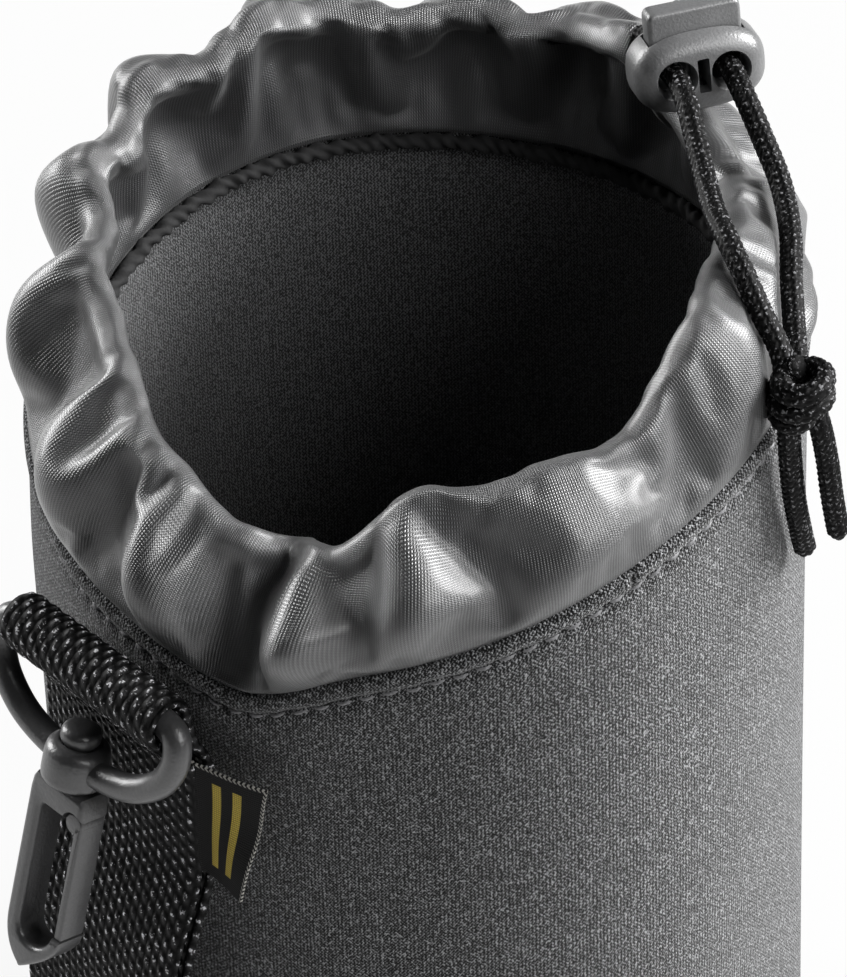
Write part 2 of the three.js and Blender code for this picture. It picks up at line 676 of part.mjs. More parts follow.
// Swivel post with its head, shoulder, spine and the bow that ends in the nose
function snapHook() {
  const inside = -HOOK_HALF + HOOK_SPINE;
  const outline = new THREE.Shape();
  outline.moveTo(-HOOK_HALF, HOOK_TOP);
  outline.lineTo(-HOOK_HALF, NOSE_TOP);
  outline.quadraticCurveTo(-HOOK_HALF, HOOK_TIP + HOOK_BOW / 2, -HOOK_SPINE / 2, HOOK_TIP);
  outline.quadraticCurveTo(HOOK_HALF, HOOK_TIP + HOOK_BOW, HOOK_HALF, NOSE_TOP);
  outline.lineTo(HOOK_HALF - GATE_THICKNESS - CLEARANCE, NOSE_TOP);
  outline.quadraticCurveTo(HOOK_SPINE, HOOK_TIP + HOOK_BOW, 0, HOOK_TIP + HOOK_BOW);
  outline.quadraticCurveTo(inside, HOOK_TIP + HOOK_BOW, inside, NOSE_TOP);
  outline.lineTo(inside, EYE_TOP);
  outline.lineTo(HOOK_HALF, EYE_TOP);
  outline.lineTo(HOOK_HALF, HOOK_TOP);
  const headBottom = BOSS_TOP + CLEARANCE;
  const head = upright(POST_HEAD_DIAMETER, headBottom, headBottom + POST_HEAD_HEIGHT);
  const socket = crosswise(GATE_KNUCKLE_DIAMETER + 2 * CLEARANCE, 2 * HOOK_DEPTH, KNUCKLE_X, KNUCKLE_Z);
  return shaped(
    solid(slab(outline, HOOK_DEPTH, HOOK_EDGE))
      .add(solid(upright(POST_DIAMETER, EYE_TOP + CLEARANCE, headBottom + CLEARANCE)))
      .add(solid(head))
      .subtract(solid(socket)),
  );
}

// The gate closes the eye from its knuckle down to the nose
function hookGate() {
  const half = GATE_THICKNESS / 2;
  const bar = block(GATE_X - half, GATE_X + half, GATE_DEPTH, NOSE_TOP + CLEARANCE, KNUCKLE_Z);
  const knuckle = crosswise(GATE_KNUCKLE_DIAMETER, GATE_DEPTH, KNUCKLE_X, KNUCKLE_Z);
  return shaped(solid(bar).add(solid(knuckle)));
}

const pouch = new THREE.Group();
pouch.name = "lens_pouch";
pouch.add(
  piece("side_wall", sideWall(), NEOPRENE),
  piece("rim_binding", rimBinding(), NEOPRENE),
  piece("rim_seam", rimSeam(), BRAID),
  piece("base_disc", baseDisc(), NEOPRENE),
  piece("base_seam", baseSeam(), BRAID),
  piece("collar", collar(), NYLON),
  piece("drawcord_hem_run", hemRun(), BRAID),
  piece("cord_feed_a", cord(FEED_A_ROUTE, FEED_STEPS), BRAID),
  piece("cord_feed_b", cord(FEED_B_ROUTE, 2 * FEED_STEPS), BRAID),
  piece("cord_run_a", cord(RUN_A_ROUTE, RUN_STEPS), BRAID),
  piece("cord_run_b", cord(RUN_B_ROUTE, RUN_STEPS), BRAID),
  piece("cord_knot", knot(), BRAID),
  piece("cord_tail_a", cord(TAIL_A_ROUTE, TAIL_STEPS), BRAID),
  piece("cord_tail_b", cord(TAIL_B_ROUTE, TAIL_STEPS), BRAID),
  piece("belt_strap", beltStrap(), WEBBING),
  piece("side_label", sideLabel(), WOVEN),
);

const lock = new THREE.Group();
lock.position.copy(fromRim(LOCK_CENTRE));
lock.rotation.set(-radians(LOCK_TILT), 0, radians(LOCK_HEADING), "ZXY");
lock.add(
  piece("lock_body", lockBody(), PLASTIC),
  piece("lock_button", lockButton(), PLASTIC),
  piece("lock_spring", lockSpring(), STEEL),
);
pouch.add(lock);

const swivelHook = new THREE.Group();
swivelHook.position.set(0, -BODY_RADIUS - BAR_STANDOFF, BAR_HEIGHT);
swivelHook.rotation.x = -radians(LOOP_TILT);
swivelHook.add(
  piece("hook_loop", hookLoop(), PLASTIC),
  piece("snap_hook", snapHook(), PLASTIC),
  piece("hook_gate", hookGate(), PLASTIC),
);
pouch.add(swivelHook);

export default pouch;
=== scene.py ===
"""Looks of a padded lens pouch: a neoprene tube, a gathered nylon collar with its drawcord and lock,
a belt strap with a woven label, and a swivel snap hook.

Shapes are worked out in millimetres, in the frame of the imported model, and made into metres at the end.
Angles around the pouch start at the strap, which faces -Y, and grow toward +X.
"""

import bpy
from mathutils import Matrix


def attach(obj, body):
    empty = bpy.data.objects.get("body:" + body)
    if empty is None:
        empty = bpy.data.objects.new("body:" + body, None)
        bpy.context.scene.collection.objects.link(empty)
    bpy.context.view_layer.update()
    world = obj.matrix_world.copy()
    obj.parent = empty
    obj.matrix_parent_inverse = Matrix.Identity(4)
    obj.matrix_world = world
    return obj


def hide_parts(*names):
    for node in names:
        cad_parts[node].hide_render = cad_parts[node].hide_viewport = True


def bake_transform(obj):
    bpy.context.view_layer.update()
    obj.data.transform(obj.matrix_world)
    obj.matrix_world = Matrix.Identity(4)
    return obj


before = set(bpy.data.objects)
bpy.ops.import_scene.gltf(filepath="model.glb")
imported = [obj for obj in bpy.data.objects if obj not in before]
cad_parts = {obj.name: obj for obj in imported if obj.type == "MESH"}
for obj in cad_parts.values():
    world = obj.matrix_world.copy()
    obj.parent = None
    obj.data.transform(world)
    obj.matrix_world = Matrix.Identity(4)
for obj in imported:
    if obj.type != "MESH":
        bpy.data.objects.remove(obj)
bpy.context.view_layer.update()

import math

import bpy
import numpy as np
from bpy.props import FloatProperty, FloatVectorProperty, IntProperty, PointerProperty
from mathutils import Quaternion, Vector

bl_info = {
    "name": "Lens Pouch",
    "version": (1, 0, 0),
    "blender": (4, 5, 0),
    "location": "View3D > Sidebar > Pouch",
    "description": "Builds a padded lens pouch around its packed frame",
    "category": "Add Mesh",
}

MM = 0.001
TAU = 2 * math.pi
CLOTH_MAP = "cloth"
CROWN = "crown"

# Angles in degrees past which an edge stays sharp: on a cut, and on a moulding
SHARP_CUT = 40.0
SHARP_MOULD = 50.0

# Tube, rim and base, as in the part's source. The dip is a depth, an angle and a width
BODY_RADIUS = 60.0
BODY_HEIGHT = 172.0
WALL = 6.0
FOOT_ROUND = 4.0
BASE_THICKNESS = 6.0
RIM_SLANT = 9.7
RIM_SADDLE = 4.7
RIM_TURN = 13.0
RIM_DIP = (5.0, 20.0, 12.0)
STITCH_DROP = 4.4
STITCH_SEED = 7
BAND_JOINT = 78.8
SEAM_STEPS = 900
# Length of one course and one wale of the knit, and of one rib and one yarn of the nylon
KNIT_COURSE = 0.72
KNIT_WALE = 0.58
NYLON_RIB = 0.47
NYLON_YARN = 0.40

# Collar: its hem's mean line, each change of it as a size, an angle and, for a sag, a width
HEM_RADIUS = 50.5
HEM_SHIFT = (4.5, 40.0)
HEM_OVAL = (2.0, 135.0)
HEM_RISE = 21.0
HEM_TILT = (3.0, 48.0)
HEM_SAG = (7.0, 150.0, 32.0)
HEM_ROLL = 3.0
HEM_ROLL_START = 40.0
# The hem is open for the cord in a window
WINDOW_ANGLE = 172.5
WINDOW_HALF = 20.0
WINDOW_DROP = 3.2
# The cord in the hem: its ends in degrees past the window, its first steps, and how far its bends are eased
CORD_SPAN = (42.0, 337.0)
CORD_STEP = 0.5
CORD_EASE = 3.2
# The cloth's flat cut, its grid, and how far the simulation may move it: at the hem, at most, and outward
CUT_WIDTH = 400.0
CUT_HEIGHT = 54.0
COLLAR_COLUMNS = 260
INNER_ROWS = 15
ROLL_ROWS = 6
OUTER_ROWS = 19
HEM_MOVE = 0.8
MOST_MOVE = 6.5
MOST_OUT = 3.0
# Room between the cord's surface and the cloth
CORD_ROOM = 0.6
# Where the collar bellies out more or less than its mean, and where less of its cloth is spare: angle, width, size
BELLY = 5.0
BELLY_CHANGES = ((312.0, 42.0, -5.3), (155.0, 22.0, 1.8), (100.0, 28.0, -2.5))
SLACK_CHANGES = ((80.0, 42.0, -0.75), (140.0, 30.0, -0.5))
# Folds of the hem: angle, width in degrees, then how far it goes out and up
HEM_FOLDS = (
    (280, 18, 4.8, 0.0), (285, 30, 0.0, -6.0), (222, 30, 0.0, -6.0), (188, 6, -0.8, 5.1), (199, 5, 1.0, -0.8),
    (207, 5, -1.2, -0.5), (217, 6, 1.2, 0.6), (229, 6, -1.8, -0.6), (240, 6, 1.2, 0.4), (250, 5, 1.0, 1.6),
    (261, 5, -1.2, -0.6), (272, 4.5, 1.2, 1.6), (281, 4.5, -1.4, -1.2), (289, 4.5, 1.4, 1.0), (299, 6, -1.4, -0.6),
    (309, 5, 1.0, 1.6), (321, 6, -1.2, 0.0), (334, 9, -1.2, 0.6), (350, 7, 1.0, 0.4), (8, 8, 1.0, -1.6),
    (22, 5, -5.0, -4.6), (34, 6.5, 2.4, -3.0), (47, 7, -1.4, 1.6), (62, 8, 0.8, -1.0), (86, 15, 2.6, -7.5),
    (106, 7, 1.6, 1.2),
)
# Folds of the cloth below the hem: angle, width, how far out, and how far the fold leans on its way up
SKIRT_FOLDS = (
    (15, 4.5, -6.5, -4), (29.5, 5, 5.0, 0), (38, 4, -3.0, 2), (46, 7, 3.4, 4), (58, 6, -1.8, 12), (72, 9, 1.6, 16),
    (88, 8, -1.2, 18), (104, 9, 1.2, 12), (124, 7, 1.2, -12), (142, 6, -1.6, -8), (200, 5, 2.4, -6),
    (210, 5, -2.6, 8), (221, 6, 2.4, -10), (233, 5, -3.0, 6), (245, 6, 2.6, 8), (257, 4, -3.4, -6),
    (268, 5, 3.0, 8), (279, 4, -3.2, -6), (290, 5, 3.0, 4), (301, 4.5, -3.0, 6), (313, 6, 3.0, -6),
    (326, 5, -3.0, 6), (340, 7, 2.6, -6), (353, 6, -2.0, -4), (4, 5, 2.4, -4),
)

# Drawcord routes, with heights from the mean rim: the part's own, with feed b's bend drawn closer behind the lock
FEED_A_ROUTE = (
    (-11.2, 54.2, 26.5), (-8.2, 54.9, 27.6), (-4.8, 54.6, 29.2), (-2.2, 53.2, 30.2), (0.6, 51.8, 31),
)
FEED_B_ROUTE = (
    (22.7, 45.3, 23.3), (15, 49, 21.6), (6, 53.6, 20.6), (-2, 58, 20.6), (-8, 62.2, 21.6),
    (-9.6, 63.6, 23.4), (-8.9, 64.6, 25.8), (-5.9, 64.8, 27.8), (-0.8, 62.2, 29.4), (4.6, 59.4, 31),
)
RUN_A_ROUTE = (
    (0.9, 51.6, 31.1), (5.5, 49.2, 32.5), (10.2, 46.8, 33.9), (14.8, 44, 33.9), (20.5, 40.2, 32.3),
    (27.5, 35.4, 31.2), (34.2, 30.6, 32.1), (40.4, 26.8, 33.4), (46.4, 24.3, 31.6), (51.2, 23.2, 27.6),
    (56.3, 22.3, 22.9),
)
RUN_B_ROUTE = (
    (4.9, 59.2, 31.1), (9.5, 56.8, 32.5), (14.2, 54.4, 33.9), (18.8, 52.1, 33.6), (25.2, 49.6, 30.5),
    (32.4, 46.4, 27.2), (39.5, 41.2, 25.2), (46, 34.8, 23.8), (51.8, 29.6, 20.8), (56.3, 25.7, 19.7),
)
TAIL_A_ROUTE = ((59.6, 20.4, 12.6), (59.2, 21.2, 6), (58.8, 22.6, -4), (57.6, 25.6, -15), (56.6, 27.6, -20.5))
TAIL_B_ROUTE = ((62.2, 24, 13.3), (63, 25.2, 5), (63.4, 26, -3), (64, 27.2, -12.5))
KNOT_CENTRE = (60.8, 21.7, 18.9)
KNOT_TURNS = 2.55
# Where each feed starts and ends beside the lock, in metres
FEED_A_BLEND = ((-0.010, 0.0549, 0.1985), (0.0006, 0.0518, 0.203))
FEED_B_BLEND = ((0.0, 0.0, 0.197), (0.0, 0.0, 0.2025))
# Feed a's start inside the hem, in degrees past the window
TUCK_SPAN = (41.0, 21.5)
# The braid's steps, points and plaits round, and the length over which a cut end tapers
BRAID_STEP = 0.24
HEM_BRAID_STEP = 0.4
BRAID_SIDES = 40
BRAID_COLUMNS = 8.0
TAIL_TAPER = 2.2

# Cord lock
LOCK_CENTRE = (7.5, 53.0, 32.5)
LOCK_HEADING = 62.5
LOCK_TILT = 15.0
LOCK_WIDTH = 21.0
LOCK_HEIGHT = 13.4
LOCK_DEPTH = 10.0
LOCK_SQUARENESS = 2.6
LOCK_ROUND = 3.4
HOLE_SPACING = 8.6
HOLE_DIAMETER = 5.6
SLOT_WIDTH = 1.9
SLOT_HEIGHT = 5.6
BUTTON_WIDTH = 14.8
BUTTON_DEPTH = 4.0
BUTTON_PROUD = 3.6
BUTTON_FOOT = -3.1
BUTTON_WINDOW = (-2.3, 4.7)
CORD_WINDOW = (1.99, 6.65)
SPRING_ROOM = 1.24
POCKET_FLOOR = -5.8
SPRING_RADIUS = 0.72
SPRING_WIRE = 0.44
SPRING_TURNS = 6
SPRING_SPAN = (-5.5, 4.4)

# Belt strap, label and hook
WEBBING_WIDTH = 34.0
WEBBING_THICKNESS = 2.0
INNER_LAYER = 1.3
LAYER_STEP = 3.2
# The strap's grid: its step, over how many points its bends are averaged, and its points across
STRAP_STEP = 0.52
STRAP_EASE = 4
STRAP_POINTS = 74
YARN_WIDTH = 1.5
FLOAT_LENGTH = 2.6
STRAP_BOTTOM = 10.0
BELT_GAP = 6.0
BELT_RISE = (26.0, 46.0)
BELT_FALL = (92.0, 122.0)
UPPER_TACK_TOP = 140.0
# How far the webbing follows the tube's round, and the heights where it leaves it, meets it and leaves it again
HUG_SHARE = 0.75
HUG_SPANS = ((26.0, 44.0), (100.0, 122.0), (138.0, 147.0))
BAR_HEIGHT = 153.0
BAR_STANDOFF = 7.5
FOLD_RADIUS = 3.8
FOLD_TURN = (190.0, -25.0)
PINCH_SHARE = 0.31
LABEL_TUCK = 4.0
LABEL_REACH = 12.0
LABEL_HEIGHT = 22.5
LABEL_CENTRE = 130.5
LABEL_DROOP = 2.6
LABEL_LIFT = 2.9
LABEL_THICKNESS = 0.5
LABEL_STRIPES = ((6.6, 8.4), (10.3, 12.1))
STRIPE_INSET = 2.4
LABEL_RIB = 0.42
LABEL_WARP = 0.36
SELVEDGE_DASH = 0.8
SELVEDGE_COLOUR = (0.42, 0.41, 0.38)
LOOP_TILT = 16.0
LOOP_DROP = 16.5
ARM_RADIUS = 2.25
ARM_X = 19.55
BOSS_RADIUS = 5.2
BOSS_HEIGHT = 7.0
BOSS_HOLE = 2.7
POST_RADIUS = 2.4
RIVET_RADIUS = 3.2
HOOK_TOP = -20.3
HOOK_TIP = -55.0
HOOK_HALF = 5.8
HOOK_DEPTH = 6.0
HOOK_SPINE = 2.8
EYE_TOP = -25.1
NOSE_TOP = -46.4
GATE_THICKNESS = 1.5
GATE_DEPTH = 5.0
KNUCKLE_RADIUS = 1.8
CLEARANCE = 0.3

# How far the camera aims beside the middle of the mouth
AIM_RIGHT = 1.24
AIM_DOWN = 19.2
# Lamps in metres from their target: to the right, toward the camera and up
KEY_PLACE = (0.81, -0.15, 0.5)
TOP_PLACE = (0.58, 0.52, 0.60)
EDGE_PLACE = (-0.75, -0.55, 0.25)
LAMP_SIZE = 0.5
LAMP_TARGET = 0.17
WORLD_FILL = 0.010
FLOOR_WHITE = 0.9
FLOOR_HALF = 3000.0
FLOOR_DROP = 0.4


# Settings that a user would change


class PouchSizes(bpy.types.PropertyGroup):
    """Sizes of the soft pieces' details."""

    cord_diameter: FloatProperty(
        name="Cord Diameter", description="Thickness of the drawcord", default=0.0036, unit="LENGTH",
    )
    braid_pitch: FloatProperty(
        name="Braid Pitch", description="Length of one plait of the cord", default=0.00125, unit="LENGTH",
    )
    stitch_length: FloatProperty(
        name="Stitch Length", description="Length of one topstitch on the rim", default=0.00355, unit="LENGTH",
    )
    cloth_slack: FloatProperty(
        name="Cloth Slack", description="Spare cloth in the gathered collar", default=0.18, subtype="FACTOR",
    )
    cloth_thickness: FloatProperty(
        name="Cloth Thickness", description="Thickness of the collar's nylon", default=0.0005, unit="LENGTH",
    )
    settle_frames: IntProperty(
        name="Settle Frames", description="Steps in which the collar's cloth settles", default=30,
    )


class PouchColours(bpy.types.PropertyGroup):
    """Colours of the materials."""

    neoprene: FloatVectorProperty(
        name="Neoprene", description="Knit face of the tube", subtype="COLOR", default=(0.040, 0.0405, 0.0415),
    )
    nylon: FloatVectorProperty(
        name="Nylon", description="Satin collar cloth", subtype="COLOR", default=(0.054, 0.0545, 0.0558),
    )
    cord: FloatVectorProperty(
        name="Cord", description="Braided drawcord", subtype="COLOR", default=(0.0028, 0.0028, 0.0029),
    )
    webbing: FloatVectorProperty(
        name="Webbing", description="Belt strap", subtype="COLOR", default=(0.010, 0.010, 0.0104),
    )
    thread: FloatVectorProperty(
        name="Thread", description="Topstitching and seams", subtype="COLOR", default=(0.06, 0.06, 0.062),
    )
    lock: FloatVectorProperty(
        name="Lock", description="Plastic of the cord lock", subtype="COLOR", default=(0.13, 0.131, 0.133),
    )
    hook: FloatVectorProperty(
        name="Hook", description="Plastic of the snap hook", subtype="COLOR", default=(0.07, 0.07, 0.0715),
    )
    label: FloatVectorProperty(
        name="Label", description="Ground of the woven label", subtype="COLOR", default=(0.010, 0.010, 0.010),
    )
    stripe: FloatVectorProperty(
        name="Label Stripe", description="Stripes of the woven label", subtype="COLOR", default=(0.90, 0.62, 0.12),
    )
    floor: FloatVectorProperty(
        name="Floor", description="Studio floor", subtype="COLOR", default=(0.5, 0.5, 0.5),
    )


class PouchStage(bpy.types.PropertyGroup):
    """Camera and light."""

    azimuth: FloatProperty(
        name="Camera Azimuth", description="Turn of the camera round the pouch", default=math.radians(47.55),
        subtype="ANGLE",
    )
    elevation: FloatProperty(
        name="Camera Elevation", description="Angle of the camera above the floor", default=math.radians(42.0),
        subtype="ANGLE",
    )
    roll: FloatProperty(
        name="Camera Roll", description="Turn of the picture", default=math.radians(1.8), subtype="ANGLE",
    )
    distance: FloatProperty(
        name="Camera Distance", description="From the middle of the mouth", default=1.291, unit="LENGTH",
    )
    lens: FloatProperty(
        name="Lens", description="Focal length of the camera", default=311.5, unit="CAMERA",
    )
    key: FloatProperty(
        name="Right Light", description="Strength of the light from the right", default=20.0, unit="POWER",
    )
    top: FloatProperty(
        name="Top Light", description="Strength of the light from above", default=4.5, unit="POWER",
    )
    edge: FloatProperty(
        name="Left Light", description="Strength of the light from the left", default=10.0, unit="POWER",
    )


# Surfaces


def bell(angle, centre, width):
    """A bell of height 1 around an angle, exp of minus the square of the distance over the width."""
    away = (angle - centre + 180.0) % 360.0 - 180.0
    return np.exp(-((away / width) ** 2))


def smooth_step(value, low, high):
    """0 below low, 1 above high, and 3t^2 - 2t^3 between them."""
    share = np.clip((value - low) / (high - low), 0.0, 1.0)
    return share * share * (3.0 - 2.0 * share)


def cosine(angle):
    """Cosine of an angle in degrees."""
    return np.cos(np.radians(angle))


def sine(angle):
    """Sine of an angle in degrees."""
    return np.sin(np.radians(angle))


def once_round(count):
    """Even angles once round, in degrees, without the last."""
    return np.linspace(0.0, 360.0, count, endpoint=False)


def with_bells(value, angle, changes):
    """A value plus a bell of its own size at each angle."""
    for at, width, size in changes:
        value = value + size * bell(angle, at, width)
    return value


def around(radius, angle, height):
    """Points at a radius, an angle round the pouch and a height."""
    radius, angle, height = np.broadcast_arrays(radius, angle, height)
    return np.stack([radius * sine(angle), -radius * cosine(angle), height], axis=-1)


def from_rim(route):
    """A route whose heights are measured from the mean rim, in the frame of the model."""
    return np.array(route, float) + np.array((0.0, 0.0, BODY_HEIGHT))


def rim_height(angle):
    """Rim of the tube: a slant, a saddle of twice round, and one dip."""
    slant = RIM_SLANT * cosine(angle + RIM_TURN)
    saddle = RIM_SADDLE * cosine(2.0 * (angle - RIM_TURN))
    return BODY_HEIGHT - slant - saddle - RIM_DIP[0] * bell(angle, *RIM_DIP[1:])


def hem_centre(angle):
    """Radius and height of the hem: an offset circle, a little oval, a tilt, and a sag beside the lock."""
    shift = HEM_SHIFT[0] * cosine(angle - HEM_SHIFT[1])
    oval_part = HEM_OVAL[0] * cosine(2.0 * (angle - HEM_OVAL[1]))
    tilt = HEM_TILT[0] * cosine(angle - HEM_TILT[1])
    rise = HEM_RISE - tilt - HEM_SAG[0] * bell(angle, *HEM_SAG[1:])
    return HEM_RADIUS - shift - oval_part, rim_height(angle) + rise


def folded_hem(angle):
    """The hem with its folds: the hem's own line plus a bell out and up for each fold."""
    radius, height = hem_centre(angle)
    for at, width, out, up in HEM_FOLDS:
        radius = radius + out * bell(angle, at, width)
        height = height + up * bell(angle, at, width)
    return radius, height


def hem_line(step):
    """Where the drawcord lies in the hem, from one side of the window round to the other: the hem's line, averaged
    along its length with a bell of the cord's own stiffness, so that no fold bends it sharply."""
    angle = np.linspace(WINDOW_ANGLE + CORD_SPAN[0], WINDOW_ANGLE + CORD_SPAN[1], 600)
    radius, height = folded_hem(angle)
    line = even_steps(around(radius, angle, height), CORD_STEP)
    count = int(round(3.0 * CORD_EASE / CORD_STEP))
    weights = np.exp(-0.5 * (np.arange(-count, count + 1) * CORD_STEP / CORD_EASE) ** 2)
    before, after = 2 * line[0] - line[count:0:-1], 2 * line[-1] - line[-2:-count - 2:-1]
    longer = np.vstack([before, line, after])
    eased = [np.convolve(longer[:, axis], weights / weights.sum(), "valid") for axis in range(3)]
    return even_steps(np.stack(eased, axis=1), step)


def smooth_route(points, step, closed=False):
    """Centripetal Catmull-Rom curve through the points, in even steps along its length."""
    points = np.asarray(points, float)
    if closed:
        ends = np.vstack([points[-1:], points, points[:2]])
    else:
        ends = np.vstack([2 * points[0] - points[1], points, 2 * points[-1] - points[-2]])
    gap = np.sqrt(np.linalg.norm(np.diff(ends, axis=0), axis=1))[:, None]
    before, start, end, after = ends[:-3], ends[1:-2], ends[2:-1], ends[3:]
    g0, g1, g2 = gap[:-2], gap[1:-1], gap[2:]
    leave = ((start - before) / g0 - (end - before) / (g0 + g1) + (end - start) / g1) * g1
    meet = ((end - start) / g1 - (after - start) / (g1 + g2) + (after - end) / g2) * g1
    t = np.linspace(0.0, 1.0, 48, endpoint=False)[:, None, None]
    line = (
        (2 * t**3 - 3 * t**2 + 1) * start + (t**3 - 2 * t**2 + t) * leave
        + (3 * t**2 - 2 * t**3) * end + (t**3 - t**2) * meet
    )
    line = np.vstack([line.transpose(1, 0, 2).reshape(-1, 3), end[-1]])
    return even_steps(line, step)


def distance_along(line):
    """How far along a line each of its points is: the sum of the steps before it."""
    return np.concatenate([[0.0], np.cumsum(np.linalg.norm(np.diff(line, axis=0), axis=1))])


def even_steps(line, step):
    """The same line with points at even distances."""
    reach = distance_along(line)
    at = np.linspace(0.0, reach[-1], max(3, int(round(reach[-1] / step)) + 1))
    return np.stack([np.interp(at, reach, line[:, axis]) for axis in range(line.shape[1])], axis=1)


def path_frames(path, closed=False):
    """Two directions across a path at each point: one nearest the normal of the path's own plane, and the other."""
    if closed:
        along = np.roll(path, -1, axis=0) - np.roll(path, 1, axis=0)
    else:
        along = np.gradient(path, axis=0)
    along /= np.linalg.norm(along, axis=1, keepdims=True)
    upward = np.linalg.svd(path - path.mean(axis=0))[2][2]
    side = upward - (along @ upward)[:, None] * along
    side /= np.linalg.norm(side, axis=1, keepdims=True)
    return side, np.cross(along, side)


def sweep(path, section, closed=False):
    """A section, or one for each point, carried along a path: path point plus both section values across it."""
    side, other = path_frames(path, closed)
    section = np.broadcast_to(section, (len(path), *np.shape(section)[-2:]))
    return path[:, None] + section[..., :1] * side[:, None] + section[..., 1:] * other[:, None]


def circle(radius, sides):
    """A round section of a radius, or of one radius for each point."""
    turn = np.linspace(0.0, TAU, sides, endpoint=False)
    return np.stack([radius * np.cos(turn), radius * np.sin(turn)], axis=-1)


def lathe(profile, sides):
    """A profile of [radius, height] pairs turned about Z."""
    profile = np.asarray(profile, float)
    return around(profile[None, :, 0], once_round(sides)[:, None], profile[None, :, 1])


def rounded_corners(corners, radius, steps=5):
    """A closed outline whose corners are quarter-like bends: a quadratic curve between points near each corner."""
    corners = np.asarray(corners, float)
    before, after = np.roll(corners, 1, axis=0) - corners, np.roll(corners, -1, axis=0) - corners
    reach = np.minimum(np.linalg.norm(before, axis=1), np.linalg.norm(after, axis=1)) / 2
    cut = np.minimum(radius, reach)[:, None]
    start = corners + before / np.linalg.norm(before, axis=1, keepdims=True) * cut
    end = corners + after / np.linalg.norm(after, axis=1, keepdims=True) * cut
    t = np.linspace(0.0, 1.0, steps)[:, None, None]
    bent = (1 - t) ** 2 * start + 2 * t * (1 - t) * corners + t**2 * end
    return bent.transpose(1, 0, 2).reshape(-1, 2)


def plate(outline, depth, edge, steps=5):
    """An outline in X and Z made thick along Y: it goes in by edge times 1 - sine, as the depth goes out by edge
    times the cosine."""
    outline = np.asarray(outline, float)
    along = np.roll(outline, -1, axis=0) - np.roll(outline, 1, axis=0)
    along /= np.maximum(np.linalg.norm(along, axis=1, keepdims=True), 1e-9)
    inward = np.stack([-along[:, 1], along[:, 0]], axis=1)
    turn = np.linspace(0.0, 90.0, steps)
    go_in = np.concatenate([edge * (1 - sine(turn)), edge * (1 - sine(turn[::-1]))])
    out = depth / 2 - edge + edge * cosine(turn)
    level = np.concatenate([-out, out[::-1]])
    flat = outline[None] + go_in[:, None, None] * inward[None]
    return np.stack([flat[..., 0], np.broadcast_to(level[:, None], flat.shape[:2]), flat[..., 1]], axis=-1)


def cloth_map(points, close_rows=False, close_columns=False):
    """Map of a grid in millimetres: mean distance along its rows and along its columns."""
    if close_rows:
        points = np.concatenate([points, points[:1]], axis=0)
    if close_columns:
        points = np.concatenate([points, points[:, :1]], axis=1)
    across = np.linalg.norm(np.diff(points, axis=0), axis=2).mean(axis=1)
    along = np.linalg.norm(np.diff(points, axis=1), axis=2).mean(axis=0)
    u = np.concatenate([[0.0], np.cumsum(across)])
    v = np.concatenate([[0.0], np.cumsum(along)])
    return np.stack(np.meshgrid(u, v, indexing="ij"), axis=-1)


class Grid:
    """A surface on a grid of points, with which sides close on themselves, a cloth map, end caps and a value."""

    def __init__(self, points, close_rows=False, close_columns=False, uv=None, caps=False, value=None):
        self.points = points
        rows, columns = points.shape[:2]
        i = np.arange(rows if close_rows else rows - 1)
        j = np.arange(columns if close_columns else columns - 1)
        i, j = (axis.ravel() for axis in np.meshgrid(i, j, indexing="ij"))
        corner_i = np.stack([i, i, i + 1, i + 1], axis=1)
        corner_j = np.stack([j, j + 1, j + 1, j], axis=1)
        self.quads = (corner_i % rows) * columns + corner_j % columns
        uv = cloth_map(points, close_rows, close_columns) if uv is None else uv
        self.corner_uv = uv[corner_i, corner_j]
        self.value = np.zeros((rows, columns)) if value is None else np.broadcast_to(value, (rows, columns))
        ring = np.arange(columns)
        self.caps = [ring[::-1], (rows - 1) * columns + ring] if caps else []
        if (close_columns and (caps or close_rows)) and self.volume() < 0:
            self.quads = self.quads[:, ::-1]
            self.corner_uv = self.corner_uv[:, ::-1]
            self.caps = [cap[::-1] for cap in self.caps]

    def volume(self):
        """Six times the volume inside, from the triangles to the middle."""
        flat = self.points.reshape(-1, 3) - self.points.reshape(-1, 3).mean(axis=0)
        a, b, c, d = (flat[self.quads[:, corner]] for corner in range(4))
        total = (a * np.cross(b, c)).sum() + (a * np.cross(c, d)).sum()
        for cap in self.caps:
            first, middle, last = flat[cap[0]], flat[cap[1:-1]], flat[cap[2:]]
            total += (first * np.cross(middle, last)).sum()
        return total


def solid(points, value=None):
    """A closed body of a grid: its columns close on themselves, and its first and last row are capped."""
    return Grid(points, False, True, caps=True, value=value)


